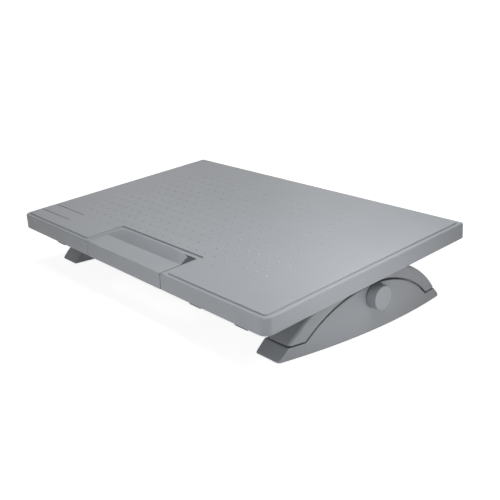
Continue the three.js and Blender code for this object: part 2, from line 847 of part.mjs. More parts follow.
// Least gap between one turn of the spring and the next, measured on points of its centre line.
function leastSpringGap(path) {
  const count = spring_turns * spring_steps_per_turn;
  const points = path.getPoints(count);
  let least = Infinity;
  points.forEach((point, i) => {
    for (let j = i + Math.floor(spring_steps_per_turn / 2); j < points.length; j += 1) {
      least = Math.min(least, point.distanceTo(points[j]));
    }
  });
  return least - 2 * spring_wire_radius;
}

function springGeometry() {
  const path = new SpringPath();
  console.log(`spring: least gap between turns ${leastSpringGap(path).toFixed(2)} mm`);
  return wireAlong(path, spring_wire_radius, spring_turns * spring_steps_per_turn);
}

// Brake

function brakePadGeometry() {
  const inner = drum_radius + seat_gap;
  const shape = ringSector(shaft_y, shaft_z, inner, inner + pad_thickness, pad_start_degrees, pad_end_degrees);
  return carried(shape, -drum_length / 2, drum_length / 2, { steps: 2 * bend_steps });
}

function leverPlateShape(shoe_inner) {
  const top = radians(pad_start_degrees);
  const bottom = radians(pad_end_degrees);
  const reach = shoe_inner + shoe_thickness / 2;
  const hole_wall = rod_radius + rod_hole_gap + rod_eye_wall;
  const shape = new THREE.Shape();
  shape.moveTo(lever_y - lever_eye_radius, lever_z);
  shape.lineTo(lever_y, lever_z + lever_eye_radius);
  shape.lineTo(shaft_y + reach * Math.cos(top), shaft_z + reach * Math.sin(top));
  shape.lineTo(shaft_y + reach * Math.cos(bottom), shaft_z + reach * Math.sin(bottom));
  shape.lineTo(lever_y, rod_z - hole_wall);
  shape.lineTo(lever_y - hole_wall, rod_z);
  shape.closePath();
  return shape;
}

function brakeLeverGeometry() {
  const shoe_inner = drum_radius + pad_thickness + 2 * seat_gap;
  const outer = lever_plate_offset + lever_plate_wall;
  const shoe_shape = ringSector(
    shaft_y,
    shaft_z,
    shoe_inner,
    shoe_inner + shoe_thickness,
    pad_start_degrees,
    pad_end_degrees,
  );
  const shoe = toSolid(carried(shoe_shape, -outer, outer, { steps: 2 * bend_steps }));
  const clear_of_drum = barAlongX(shoe_inner, -tray_width, tray_width, shaft_y, shaft_z);
  const plates = [-outer, lever_plate_offset].map((x) => {
    const plate = toSolid(carried(leverPlateShape(shoe_inner), x, x + lever_plate_wall));
    const eye = barAlongX(lever_eye_radius, x, x + lever_plate_wall, lever_y, lever_z);
    return cut(join(plate, eye), clear_of_drum);
  });
  const pin_bore = barAlongX(lever_pin_radius + running_gap, -tray_width, tray_width, lever_y, lever_z);
  const rod_bore = barAlongX(rod_radius + rod_hole_gap, -tray_width, tray_width, lever_y, rod_z);
  return toGeometry(cut(join(shoe, ...plates), pin_bore, rod_bore));
}

function bracketLugShape() {
  const shape = new THREE.Shape();
  shape.moveTo(lever_y - 2 * bracket_lug_radius, bracket_top - bracket_wall / 2);
  shape.lineTo(lever_y - bracket_lug_radius, lever_z);
  shape.absarc(lever_y, lever_z, bracket_lug_radius, Math.PI, 2 * Math.PI, false);
  shape.lineTo(bracket_rear - bracket_wall / 2, bracket_top - bracket_wall / 2);
  shape.closePath();
  return shape;
}

function brakeBracketGeometry() {
  const lug_inner = lever_plate_offset + lever_plate_wall + slide_gap;
  const base = box(
    [-bracket_half_width, bracket_half_width],
    [bracket_front, bracket_rear],
    [bracket_top - bracket_wall, bracket_top],
  );
  const seat = box(
    [-lug_inner, lug_inner],
    [bracket_front, bracket_front + bracket_wall],
    [rod_z - seat_wall_drop, bracket_top - bracket_wall / 2],
  );
  const lugs = [-lug_inner - bracket_wall, lug_inner].map((x) =>
    toSolid(carried(bracketLugShape(), x, x + bracket_wall)),
  );
  const slot_half = rod_radius + rod_hole_gap;
  const rod_slot = box(
    [-slot_half, slot_half],
    [bracket_front - cut_overrun, bracket_front + bracket_wall + seat_gap],
    [rod_z - seat_wall_drop - cut_overrun, rod_z + slot_half],
  );
  const pin_bore = barAlongX(lever_pin_radius + running_gap, -tray_width, tray_width, lever_y, lever_z);
  return toGeometry(cut(join(base, seat, ...lugs), rod_slot, pin_bore, ...screwBores(bracketScrews())));
}

function leverPinGeometry() {
  const lug_outer = lever_plate_offset + lever_plate_wall + slide_gap + bracket_wall;
  const head_radius = lever_pin_radius + bracket_wall / 2;
  const stem = barAlongX(lever_pin_radius, -lug_outer - bracket_wall / 2, lug_outer + seat_gap, lever_y, lever_z);
  const head_start = lug_outer + seat_gap;
  const head = barAlongX(head_radius, head_start, head_start + bracket_wall / 2, lever_y, lever_z);
  return toGeometry(join(stem, head));
}

// Screw with its head below the plate it holds, shank upward.
function screwGeometry({ x, y, boss, plate }) {
  const head_top = plate_under - boss - seat_gap - plate - seat_gap;
  const shank_top = plate_under - boss + screw_bite;
  const profile = [
    new THREE.Vector2(0, 0),
    new THREE.Vector2(screw_head_radius * screw_crown_share, 0),
    new THREE.Vector2(screw_head_radius, screw_head_height / 2),
    new THREE.Vector2(screw_head_radius, screw_head_height),
    new THREE.Vector2(screw_shank_radius, screw_head_height),
    new THREE.Vector2(screw_shank_radius, shank_top - head_top + screw_head_height),
    new THREE.Vector2(0, shank_top - head_top + screw_head_height),
  ];
  const geometry = new THREE.LatheGeometry(profile, screw_sides);
  geometry.rotateX(Math.PI / 2);
  geometry.translate(x, y, head_top - screw_head_height);
  return toGeometry(toSolid(geometry));
}

// Tilt shaft, saddles and drum

function saddleShape() {
  const ring = tilt_shaft_radius + saddle_ring_wall;
  const flange = saddle_flange_length / 2;
  const under = saddle_top - saddle_flange_wall;
  const shape = new THREE.Shape();
  shape.moveTo(shaft_y - flange, saddle_top);
  shape.lineTo(shaft_y - flange, under);
  shape.lineTo(shaft_y - ring, under);
  shape.lineTo(shaft_y - ring, shaft_z);
  shape.absarc(shaft_y, shaft_z, ring, Math.PI, 2 * Math.PI, false);
  shape.lineTo(shaft_y + ring, under);
  shape.lineTo(shaft_y + flange, under);
  shape.lineTo(shaft_y + flange, saddle_top);
  shape.closePath();
  return shape;
}

function saddleGeometry() {
  const block = toSolid(carried(saddleShape(), saddle_inner, saddle_outer, { steps: 2 * bend_steps }));
  const bore = barAlongX(tilt_shaft_radius + running_gap, -tray_width, tray_width, shaft_y, shaft_z);
  return toGeometry(cut(block, bore, ...screwBores(saddleScrews(1))));
}

// A hollow round bar or ring along X, in the foot frame.
function tubeAlongX(inner, outer, x_low, x_high, z) {
  const bar = barAlongX(outer, x_low, x_high, 0, z);
  const bore = barAlongX(inner, x_low - cut_overrun, x_high + cut_overrun, 0, z);
  return toGeometry(cut(bar, bore));
}

function collarGeometry() {
  const inner = tilt_shaft_radius + running_gap;
  const end = saddle_inner - slide_gap;
  return tubeAlongX(inner, inner + collar_wall, end - collar_width, end, pivot_height);
}

// Foot bases

// The foot's plan: straight inside, bulged outside, grown or shrunk by a margin.
function footPlan(margin, length) {
  const inner = foot_inner_face - margin;
  const radius = foot_bulge_radius + margin;
  const centre = foot_outer_crown - foot_bulge_radius;
  const half = length / 2;
  const angle = Math.asin((half - foot_corner) / radius);
  const side = centre + radius * Math.cos(angle);
  const inner_corner = foot_corner / 2;
  const shape = new THREE.Shape();
  shape.moveTo(inner + inner_corner, -half);
  shape.lineTo(side - foot_corner, -half);
  shape.quadraticCurveTo(side, -half, side, -half + foot_corner);
  shape.absarc(centre, 0, radius, -angle, angle, false);
  shape.quadraticCurveTo(side, half, side - foot_corner, half);
  shape.lineTo(inner + inner_corner, half);
  shape.quadraticCurveTo(inner, half, inner, half - inner_corner);
  shape.lineTo(inner, -half + inner_corner);
  shape.quadraticCurveTo(inner, -half, inner + inner_corner, -half);
  shape.closePath();
  return shape;
}

// The plan raised to a height, its outer face leaning in by the draft.
function draftedFoot(margin, length, low, high) {
  const geometry = raised(footPlan(margin, length), low, high, { steps: flat_arc_steps });
  const position = geometry.attributes.position;
  for (let i = 0; i < position.count; i += 1) {
    const x = position.getX(i);
    if (x > foot_middle) {
      position.setX(i, x - Math.max(position.getZ(i), 0) * foot_lean);
    }
  }
  return toSolid(geometry);
}

// The foot seen from the side: sloped tips, low lips, and the arched wall between them.
function footSideShape() {
  const half = foot_length / 2;
  const lip = half - tip_run;
  const slope = Math.atan2(lip_height, tip_run);
  const nose_run = tip_nose_round * Math.cos(slope);
  const nose_rise = tip_nose_round * Math.sin(slope);
  const end = Math.atan2(lip_height - foot_arc_centre, foot_rim_half);
  const shape = new THREE.Shape();
  shape.moveTo(-half + tip_nose_round, 0);
  shape.quadraticCurveTo(-half, 0, -half + nose_run, nose_rise);
  shape.lineTo(-lip, lip_height);
  shape.lineTo(-foot_rim_half, lip_height);
  shape.absarc(0, foot_arc_centre, foot_arc_radius, Math.PI - end, end, true);
  shape.lineTo(lip, lip_height);
  shape.lineTo(half - nose_run, nose_rise);
  shape.quadraticCurveTo(half, 0, half - tip_nose_round, 0);
  shape.closePath();
  return shape;
}

function footPadPlan(end, gap) {
  const x = (foot_inner_face + foot_outer_crown - foot_wall) / 2 - foot_wall;
  const y = end * (foot_length / 2 - foot_pad_from_end - foot_pad_length / 2);
  const half_width = foot_pad_width / 2 + gap;
  const half_length = foot_pad_length / 2 + gap;
  return rectangle([x - half_width, x + half_width], [y - half_length, y + half_length], foot_pad_corner + gap);
}

function guideRibs() {
  const top = foot_crown_height * guide_rib_height_share;
  return guide_rib_shares.map((share) => {
    const y = share * channel_length;
    return box(
      [guide_outer_face + slide_gap, foot_outer_crown],
      [y - rib_wall / 2, y + rib_wall / 2],
      [0, top],
    );
  });
}

function tipPockets() {
  const x_range = [foot_inner_face + tip_pocket_inset, foot_outer_crown - tip_pocket_from_crown];
  const near = channel_length / 2 + tip_pocket_inset;
  const far = foot_length / 2 - tip_run - tip_pocket_inset;
  return [-1, 1].map((end) => {
    const y_range = [end * near, end * far].sort((a, b) => a - b);
    return box(x_range, y_range, [-cut_overrun, lip_height - tip_pocket_inset]);
  });
}

function footBaseGeometry() {
  const side = toSolid(carried(footSideShape(), 0, tray_width, { steps: long_arc_steps }));
  const outside = draftedFoot(0, foot_length, 0, foot_crown_height + cut_overrun).intersect(side);
  const channel = draftedFoot(-foot_wall, channel_length, foot_wall, foot_crown_height + 2 * cut_overrun);
  const ribs = join(...guideRibs()).intersect(outside);
  const shell = join(cut(outside, channel), ribs);
  const bore = barAlongX(bush_radius + seat_gap, 0, tray_width, 0, knob_height, bush_sides);
  const recesses = [-1, 1].map((end) => {
    const plan = footPadPlan(end, seat_gap);
    return toSolid(raised(plan, -cut_overrun, foot_pad_recess, { steps: pad_corner_steps }));
  });
  return toGeometry(cut(shell, bore, ...recesses, ...tipPockets()));
}

function footPadGeometry(end) {
  const top = foot_pad_recess - seat_gap;
  return toGeometry(toSolid(raised(footPadPlan(end, 0), -pad_stand, top, { steps: pad_corner_steps })));
}

// Sliding arches with their racks

// A round-edged disc about the arch's centre. Its outer face follows the foot's bulge and lean.
function archDisc(inset, round) {
  const radius = arch_radius - inset;
  const inner = arch_inner_face + inset;
  const outer = foot_outer_crown - inset;
  const band_start = foot_arc_radius - arch_wall;
  const profile = new THREE.Path();
  profile.moveTo(0, inner);
  if (round > 0) {
    profile.lineTo(radius - round, inner);
    profile.quadraticCurveTo(radius, inner, radius, inner + round);
    profile.lineTo(radius, outer - round);
    profile.quadraticCurveTo(radius, outer, radius - round, outer);
  } else {
    profile.lineTo(radius, inner);
    profile.lineTo(radius, outer);
  }
  profile.lineTo(band_start, outer);
  profile.lineTo(0, outer);
  const geometry = new THREE.LatheGeometry(profile.getPoints(bend_steps - 1), disc_sides);
  geometry.rotateZ(-Math.PI / 2);
  geometry.translate(0, 0, arch_centre);
  const position = geometry.attributes.position;
  for (let i = 0; i < position.count; i += 1) {
    const x = position.getX(i);
    if (x > foot_middle) {
      const bulge = position.getY(i) ** 2 / (2 * foot_bulge_radius);
      position.setX(i, x - bulge - position.getZ(i) * foot_lean);
    }
  }
  return toSolid(geometry);
}

// Everything below the foot's arched rim, grown by a margin, from one X to another.
function belowFootRim(margin, x_low, x_high) {
  const dome = domeShape(foot_arc_radius + margin, foot_crown_height + margin, -cut_overrun);
  return toSolid(carried(dome, x_low, x_high, { steps: long_arc_steps }));
}

function archShell() {
  const beyond = arch_radius + cut_overrun;
  const below = box([0, tray_width], [-beyond, beyond], [-2 * beyond, arch_base]);
  const guide_inside = guide_outer_face - arch_wall;
  const cap = cut(archDisc(0, arch_edge_round), below, belowFootRim(arch_lip_gap, guide_outer_face, tray_width));
  const skirt = box(
    [arch_inner_face, guide_outer_face],
    [-guide_half, guide_half],
    [guide_bottom, arch_base + arch_wall],
  );
  const flange_web = belowFootRim(arch_lip_gap + arch_wall, guide_inside, tray_width);
  const room = cut(archDisc(arch_wall, 0), below, flange_web);
  const mouth = box(
    [arch_inner_face + arch_wall, guide_inside],
    [arch_wall - guide_half, guide_half - arch_wall],
    [guide_bottom - cut_overrun, arch_base + arch_wall],
  );
  return cut(join(cap, skirt), room, mouth);
}

// Rack teeth point forward, with a gap of the rack centred on the knob's height at rest.
function rackShape() {
  const pitch = Math.PI * gear_module;
  const dedendum = dedendum_share * gear_module;
  const tip = pitch_radius - gear_module;
  const root = pitch_radius + dedendum;
  const lean = Math.tan(radians(pressure_degrees));
  const half_tip = pitch / 4 - gear_module * lean - backlash / 4;
  const half_root = pitch / 4 + dedendum * lean - backlash / 4;
  const above = Math.ceil(rack_end_margin / pitch);
  const below = Math.ceil((rack_end_margin + lift_travel) / pitch);
  const back = root + rack_back;
  const shape = new THREE.Shape();
  shape.moveTo(back, knob_height - below * pitch);
  shape.lineTo(root, knob_height - below * pitch);
  for (let tooth = -below; tooth < above; tooth += 1) {
    const middle = knob_height + tooth * pitch + pitch / 2;
    shape.lineTo(root, middle - half_root);
    shape.lineTo(tip, middle - half_tip);
    shape.lineTo(tip, middle + half_tip);
    shape.lineTo(root, middle + half_root);
  }
  shape.lineTo(root, knob_height + above * pitch);
  shape.lineTo(back, knob_height + above * pitch);
  shape.closePath();
  return shape;
}

function shaftSlot() {
  const half = lift_shaft_radius + slot_gap;
  const shape = rectangle(
    [-half, half],
    [knob_height - lift_travel - half, knob_height + half],
    half - merge_tolerance,
  );
  return toSolid(carried(shape, 0, tray_width));
}

function archGeometry() {
  const rack_start = arch_inner_face + arch_wall / 2;
  const rack_end = arch_inner_face + pinion_from_arch_face + pinion_width;
  const rack = toSolid(carried(rackShape(), rack_start, rack_end));
  const lug = barAlongX(arch_lug_radius, arch_inner_face, guide_outer_face, 0, pivot_height);
  const shell = join(archShell(), rack, lug);
  const seat = barAlongX(tilt_shaft_radius + running_gap, 0, shaft_seat_end, 0, pivot_height);
  return toGeometry(cut(shell, seat, shaftSlot()));
}

// Pinion with involute flanks. Its first tooth points at the rack.
function pinionShape() {
  const base_radius = pitch_radius * Math.cos(radians(pressure_degrees));
  const outer = pitch_radius + gear_module;
  const root = pitch_radius - dedendum_share * gear_module;
  const involute = (radius) => {
    const pressure = Math.acos(Math.min(base_radius / radius, 1));
    return Math.tan(pressure) - pressure;
  };
  const half_tooth = Math.PI / (2 * pinion_teeth) - backlash / (4 * pitch_radius);
  const halfAngle = (radius) => half_tooth + involute(pitch_radius) - involute(radius);
  const radii = [base_radius, pitch_radius, outer];
  const points = [];
  for (let tooth = 0; tooth < pinion_teeth; tooth += 1) {
    const middle = (2 * Math.PI * tooth) / pinion_teeth;
    points.push([root, middle - halfAngle(base_radius)]);
    radii.forEach((radius) => points.push([radius, middle - halfAngle(radius)]));
    [...radii].reverse().forEach((radius) => points.push([radius, middle + halfAngle(radius)]));
    points.push([root, middle + halfAngle(base_radius)]);
  }
  const shape = new THREE.Shape();
  points.forEach(([radius, angle], i) => {
    const y = radius * Math.cos(angle);
    const z = knob_height + radius * Math.sin(angle);
    if (i === 0) {
      shape.moveTo(y, z);
    } else {
      shape.lineTo(y, z);
    }
  });
  shape.closePath();
  return shape;
}

function pinionGeometry() {
  const start = arch_inner_face + pinion_from_arch_face;
  const gear = toSolid(carried(pinionShape(), start, start + pinion_width));
  const bore = barAlongX(lift_shaft_radius + running_gap, 0, tray_width, 0, knob_height);
  return toGeometry(cut(gear, bore));
}

// Bushes and knobs

function outerBushGeometry() {
  const lean = bush_flange_radius * foot_lean;
  const start = foot_face_at_knob - foot_wall - lean - seat_gap - bush_flange;
  const sleeve = barAlongX(bush_radius, start, foot_face_at_knob - seat_gap, 0, knob_height, bush_sides);
  const flange = barAlongX(bush_flange_radius, start, start + bush_flange, 0, knob_height, bush_sides);
  const bore = barAlongX(lift_shaft_radius + running_gap, 0, tray_width, 0, knob_height);
  return toGeometry(cut(join(sleeve, flange), bore));
}

function innerBushGeometry() {
  const start = foot_inner_face - seat_gap - bush_flange;
  const sleeve = barAlongX(bush_radius, start, foot_inner_face + foot_wall, 0, knob_height, bush_sides);
  const flange = barAlongX(bush_flange_radius, start, start + bush_flange, 0, knob_height, bush_sides);
  const bore = barAlongX(lift_shaft_radius + running_gap, 0, tray_width, 0, knob_height);
  return toGeometry(cut(join(sleeve, flange), bore));
}

function knobGeometry() {
  const lean = knob_radius * foot_lean;
  const back = foot_face_at_knob + lean + slide_gap;
  const depth = knob_face - back;
  const bore = lift_shaft_radius + running_gap;
  const bore_depth = depth - knob_skin;
  const profile = new THREE.Path();
  profile.moveTo(bore, 0);
  profile.lineTo(knob_radius, 0);
  profile.lineTo(knob_face_radius, depth - knob_round);
  profile.quadraticCurveTo(
    knob_face_radius,
    depth - knob_crown,
    knob_face_radius - knob_round,
    depth - knob_crown,
  );
  profile.quadraticCurveTo(knob_face_radius / 2, depth, 0, depth);
  profile.lineTo(0, bore_depth);
  profile.lineTo(bore, bore_depth);
  profile.lineTo(bore, 0);
  const geometry = new THREE.LatheGeometry(profile.getPoints(bend_steps - 1), knob_sides);
  geometry.rotateZ(-Math.PI / 2);
  geometry.translate(back, 0, knob_height);
  return toGeometry(toSolid(geometry));
}

function liftShaftGeometry() {
  const end = knob_face - knob_skin - seat_gap;
  return toGeometry(barAlongX(lift_shaft_radius, -end, end, 0, knob_height));
}

// Finishes

const tray_grey = new THREE.MeshStandardMaterial({ color: 0x9a9ea3, roughness: 0.55, metalness: 0 });
const foot_grey = new THREE.MeshStandardMaterial({ color: 0x8d9094, roughness: 0.55, metalness: 0 });
const rubber_black = new THREE.MeshStandardMaterial({ color: 0x2b2c2e, roughness: 0.9, metalness: 0 });
const steel = new THREE.MeshStandardMaterial({ color: 0xb4b6b8, roughness: 0.35, metalness: 1 });
const acetal = new THREE.MeshStandardMaterial({ color: 0xe2e0d8, roughness: 0.5, metalness: 0 });

function named(name, geometry, material) {
  const mesh = new THREE.Mesh(geometry, material.clone());
  mesh.name = name;
  return mesh;
}

// Adds a piece and its mirror image on the other side.
function addPair(group, name, geometry, material) {
  group.add(named(`${name}_right`, geometry, material));
  group.add(named(`${name}_left`, mirrored(geometry), material));
}

function feet() {
  const group = new THREE.Group();
  addPair(group, "foot_base", footBaseGeometry(), foot_grey);
  addPair(group, "foot_pad_front", footPadGeometry(-1), rubber_black);
  addPair(group, "foot_pad_rear", footPadGeometry(1), rubber_black);
  addPair(group, "knob_bush", outerBushGeometry(), acetal);
  addPair(group, "inner_bush", innerBushGeometry(), acetal);
  return group;
}

function liftingFrame() {
  const group = new THREE.Group();
  addPair(group, "arch", archGeometry(), foot_grey);
  const end = shaft_seat_end - seat_gap;
  group.add(named("tilt_shaft", tubeAlongX(tilt_shaft_bore, tilt_shaft_radius, -end, end, pivot_height), steel));
  const drum_bore = tilt_shaft_radius + running_gap;
  const drum_half = drum_length / 2;
  const drum = tubeAlongX(drum_bore, drum_radius, -drum_half, drum_half, pivot_height);
  group.add(named("brake_drum", drum, steel));
  addPair(group, "shaft_collar", collarGeometry(), steel);
  return group;
}

function liftShaftSet() {
  const group = new THREE.Group();
  group.add(named("lift_shaft", liftShaftGeometry(), steel));
  addPair(group, "pinion", pinionGeometry(), acetal);
  addPair(group, "knob", knobGeometry(), foot_grey);
  return group;
}

function traySet() {
  const group = new THREE.Group();
  group.add(named("tray", trayGeometry(), tray_grey));
  addPair(group, "hinge_saddle", saddleGeometry(), foot_grey);
  screwPlaces().forEach((place, i) => {
    group.add(named(`screw_${i + 1}`, screwGeometry(place), steel));
  });
  group.add(named("brake_bracket", brakeBracketGeometry(), steel));
  group.add(named("lever_pin", leverPinGeometry(), steel));
  addPair(group, "pedal_pin", pedalPinGeometry(), steel);
  front_pad_place_shares.forEach((share, i) => {
    group.add(named(`front_pad_${i + 1}`, frontPadGeometry(share * tray_width), rubber_black));
  });
  return group;
}

function pedalSet() {
  const group = new THREE.Group();
  group.add(named("pedal", pedalGeometry(), tray_grey));
  group.add(named("pull_rod", rodGeometry(), steel));
  group.add(named("spring_washer", washerGeometry(), steel));
  group.add(named("return_spring", springGeometry(), steel));
  group.add(named("brake_lever", brakeLeverGeometry(), steel));
  group.add(named("brake_pad", brakePadGeometry(), rubber_black));
  return group;
}

// Assembly

function footrest() {
  const tray_frame = new THREE.Group();
  tray_frame.position.set(0, -pivot_behind_centre, rim_above_pivot);
  tray_frame.add(traySet(), pedalSet());
  const tilting = new THREE.Group();
  tilting.position.set(0, 0, pivot_height);
  tilting.rotation.x = radians(rest_tilt_degrees);
  tilting.add(tray_frame);
  const assembly = new THREE.Group();
  assembly.position.z = pad_stand;
  assembly.add(feet(), liftingFrame(), liftShaftSet(), tilting);
  return assembly;
}

// The finished model stands with its origin on the floor, under the middle of its bounding box.
const model = footrest();
model.updateMatrixWorld(true);
const bounds = new THREE.Box3().setFromObject(model, true);
const middle = bounds.getCenter(new THREE.Vector3());
model.position.y = -middle.y;
const origin_group = new THREE.Group();
origin_group.add(model);

export default origin_group;
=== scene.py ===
"""A tilting footrest for use under a desk: its fine shapes, finishes, light and camera.

Shapes are worked out in millimetres in the frame of what carries them, then placed in the row's metres.
"""
import json
import math

import bmesh
import bpy
import numpy as np
from mathutils import Matrix, Vector


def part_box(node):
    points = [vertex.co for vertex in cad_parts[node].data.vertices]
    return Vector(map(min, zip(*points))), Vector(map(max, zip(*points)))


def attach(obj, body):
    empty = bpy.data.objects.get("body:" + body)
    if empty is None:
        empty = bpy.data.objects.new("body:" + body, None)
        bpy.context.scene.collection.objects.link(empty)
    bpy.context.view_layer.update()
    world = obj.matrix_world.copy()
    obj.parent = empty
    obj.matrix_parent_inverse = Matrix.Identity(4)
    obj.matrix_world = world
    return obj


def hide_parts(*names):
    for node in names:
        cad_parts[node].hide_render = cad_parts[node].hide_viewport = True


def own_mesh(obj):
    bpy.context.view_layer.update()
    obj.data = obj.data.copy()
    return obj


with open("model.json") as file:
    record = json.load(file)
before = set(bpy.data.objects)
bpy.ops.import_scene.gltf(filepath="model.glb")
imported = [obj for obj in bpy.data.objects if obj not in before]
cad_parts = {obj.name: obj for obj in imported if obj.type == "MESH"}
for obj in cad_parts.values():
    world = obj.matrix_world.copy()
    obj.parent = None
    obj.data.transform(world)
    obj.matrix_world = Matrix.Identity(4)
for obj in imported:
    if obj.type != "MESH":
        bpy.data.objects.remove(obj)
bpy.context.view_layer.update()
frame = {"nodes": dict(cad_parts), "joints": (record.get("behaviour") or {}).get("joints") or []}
nodes = frame["nodes"]
joints = {joint["name"]: joint for joint in frame["joints"]}

METRES_PER_MM = 0.001
HAIRLINE = 0.01
SAME_POINT = 0.002
LEAST_EDGE = 0.001
LEAST_MITRE = 0.3
SHARP_ANGLE = math.radians(35)

# Stance, from the frame
REST_TILT = math.radians(5.25)
PIVOT_Y, PIVOT_Z = (value / METRES_PER_MM for value in joints["tilt"]["pos_m"][1:])
PAD_STAND = 1.0

# Tray, in its own frame: origin at the centre of its rim plane
TRAY_WIDTH = 560.0
TRAY_DEPTH = 360.0
TRAY_FRONT = -TRAY_DEPTH / 2
SKIRT_DEPTH = 21.5
SKIRT_WALL = 3.0
PLATE_WALL = 2.2
TRAY_CORNER = 11.0
REAR_CORNER_LESS = 7.0
LEAST_CORNER = 0.5
FRONT_DRAFT = 1.2
TRAY_EDGE_ROUND = 2.0
OPENING_EDGE_ROUND = 0.8
PANEL_RISE = 1.4
PANEL_INSET = 6.5
PANEL_CORNER = 5.0
PANEL_EDGE_ROUND = 0.6
LEDGE = 7.6
STEP_GROOVE_WIDTH = 1.6
STEP_GROOVE_DEPTH = 0.4
STEP_SLANT = 0.9
NOTCH_SIDE_FLOOR = -0.1
OPENING_WIDTH = 176.0
OPENING_DEPTH = 57.5
GROOVE_WIDTH = 1.3
GROOVE_DEPTH = 0.6
GROOVE_LENGTH = 86.0
GROOVE_PLACES = (-126.1, -151.5)
ROD_SLOT = (-2.1, 10.1)
ROD_SLOT_TOP = -2.5
RIM_ABOVE_PIVOT = 18.1
PIVOT_BEHIND_CENTRE = 18.6

# Points of the tray's plan: how many to a corner, which lie on the rod's slot and on the notch's sides
ARC_STEPS = 9
SLOT_POINTS = 3 * ARC_STEPS + np.array([1, 2])
LEFT_SIDE = ARC_STEPS + np.arange(ARC_STEPS // 2, ARC_STEPS + ARC_STEPS // 2)
SIDE_POINTS = np.concatenate([LEFT_SIDE, LEFT_SIDE + 2 * ARC_STEPS + 4])

# Grip dots
DOT_PITCH = 19.05
DOT_COLUMNS = 22
DOT_ROWS = 12
DOT_RADIUS = 2.6
DOT_HEIGHT = 0.7
FAINT_DOT_SHARE = 0.72
DOT_SINK = 0.15
DOT_RINGS = 6
DOT_SIDES = 14

# Ribs and bosses under the tray
RIB_WALL = 2.0
RIB_DEPTH = 8.5
RIB_REACH = 204.8
LENGTHWISE_RIB_SHARES = (-0.27, -0.09, 0.15, 0.27, 0.39)
CROSSWISE_RIB_SHARES = (-0.29, -0.2, -0.105, 0.105, 0.2, 0.29)
RIB_EDGE = 0.3
BRACKET_CLEAR_HALF = 24.0
BRACKET_CLEAR_FRONT = -40.4
BRACKET_CLEAR_BACK = 31.6
ROD_CLEAR = 9.7
BOSS_RADIUS = 4.1
BOSS_EDGE = 0.4

# Pedal
PEDAL_HALF = 87.0
PEDAL_WALL = 3.0
PEDAL_END = 5.0
PEDAL_EDGE_ROUND = 1.2
RAMP_FOOT = -147.0
RAMP_CREST = -130.5
RAMP_END_RISE = 4.5
RAMP_MIDDLE_RISE = 9.0
RAMP_END_INSET = 6.3
RAMP_BOW_POWER = 6
RAMP_END_ROUND = 1.3
FLAT_END_ROUND = 0.4
RAMP_FOOT_FILLET = 1.4
CREST_ROUND = 1.6
RAMP_FULLNESS = 0.3
RAMP_BACK_DROP = 9.0
PEDAL_PIVOT = (-128.2, -17.0)
CHEEK_RADIUS = 4.4
PEDAL_RIB_DEPTH = 11.0
PEDAL_RIB_SHARES = (-0.32, -0.12, 0.12, 0.32)
CRANK_RANGE = (4.2, 7.7)
CRANK_EYE = (-118.0, -8.7)
CRANK_EYE_RADIUS = 3.7
CRANK_EDGE = 0.4

# Feet, in their own frame: origin between the feet, level with their bottom edges
FOOT_HALF = 155.0
FOOT_INNER_FACE = 212.8
FOOT_OUTER_CROWN = 265.5
FOOT_BULGE_RADIUS = 875.0
FOOT_LEAN = math.tan(math.radians(2.2))
FOOT_WALL = 2.8
FOOT_CORNER = 4.4
FOOT_INNER_CORNER = 2.2
TIP_RUN = 16.0
TIP_NOSE = 2.2
LIP_HEIGHT = 15.3
FOOT_CROWN_HEIGHT = 61.5
FOOT_ARC_RADIUS = 163.0
CHANNEL_HALF = 118.0
POCKET_NEAR = 121.2
POCKET_FAR = 135.2
POCKET_DEPTH = 12.1
POCKET_INNER = 216.0
POCKET_OUTER = 249.5
OUTER_RIM_ROUND = 1.5
INNER_RIM_ROUND = 0.9
BOTTOM_ROUND = 0.8
ROUND_SHARE = 2.2
QUARTER_STEPS = 6
LEAST_HEIGHT = 0.02
TIP_SLOPE = math.atan2(LIP_HEIGHT, TIP_RUN)
NOSE_RADIUS = TIP_NOSE * math.tan(TIP_SLOPE / 2)
NOSE_CENTRE = FOOT_HALF - TIP_NOSE
FOOT_END = NOSE_CENTRE + NOSE_RADIUS

# Sliding arches
ARCH_RADIUS = 183.0
ARCH_CROWN_HEIGHT = 81.3
ARCH_GAP = 1.8
ARCH_INNER_FACE = 216.1
ARCH_EDGE_ROUND = 4.2
GUIDE_OUTER_FACE = 254.0
GUIDE_HALF = 107.0
GUIDE_BOTTOM = 6.0
GUIDE_INTO_BAND = 1.5
GUIDE_EDGE = 0.6
LUG_RADIUS = 9.4
LUG_EDGE = 0.8
BAND_FOOT_EDGE = 0.5
ARCH_CENTRE = ARCH_CROWN_HEIGHT - ARCH_RADIUS
ARCH_BASE = LIP_HEIGHT + ARCH_GAP + 0.3
ARCH_INSIDE = FOOT_ARC_RADIUS + ARCH_GAP + 0.7

# Centres of the two shafts, in the feet's frame
TILT_CENTRE = (0, 0, 78.0)
LIFT_CENTRE = (0, 0, 46.5)

# Knobs
KNOB_RADIUS = 16.7
KNOB_FACE_RADIUS = 15.8
KNOB_ROUND = 1.8
KNOB_FACE_DISH = 0.4
KNOB_FACE_SHARES = ((0.4, 0.8), (0.8, 0.5), (1.0, 0.2), (1.0, 0.0))
KNOB_BACK_EDGE = 0.6
KNOB_SKIRT = 0.9

# Saddles and screws under the tray
SADDLE_TOP = -7.3
SADDLE_UNDER = -10.8
SADDLE_FLANGE = 21.0
SADDLE_RING = 10.3
SADDLE_EDGE = 0.7
SADDLE_PLACE = 196.3
SADDLE_SCREW_REACH = 15.3
SADDLE_BOSS = 4.8
SADDLE_PLATE = 3.5
BRACKET_SCREW_X = 16.5
BRACKET_SCREW_Y = -16.9
BRACKET_BOSS = 2.8
BRACKET_PLATE = 2.0
SEAT_GAP = 0.3
HEAD_HEIGHT = 2.2
HEAD_RADIUS = 3.5
RECESS_DEPTH = 0.8
SHANK_RADIUS = 1.9
SHANK_BITE = 3.2

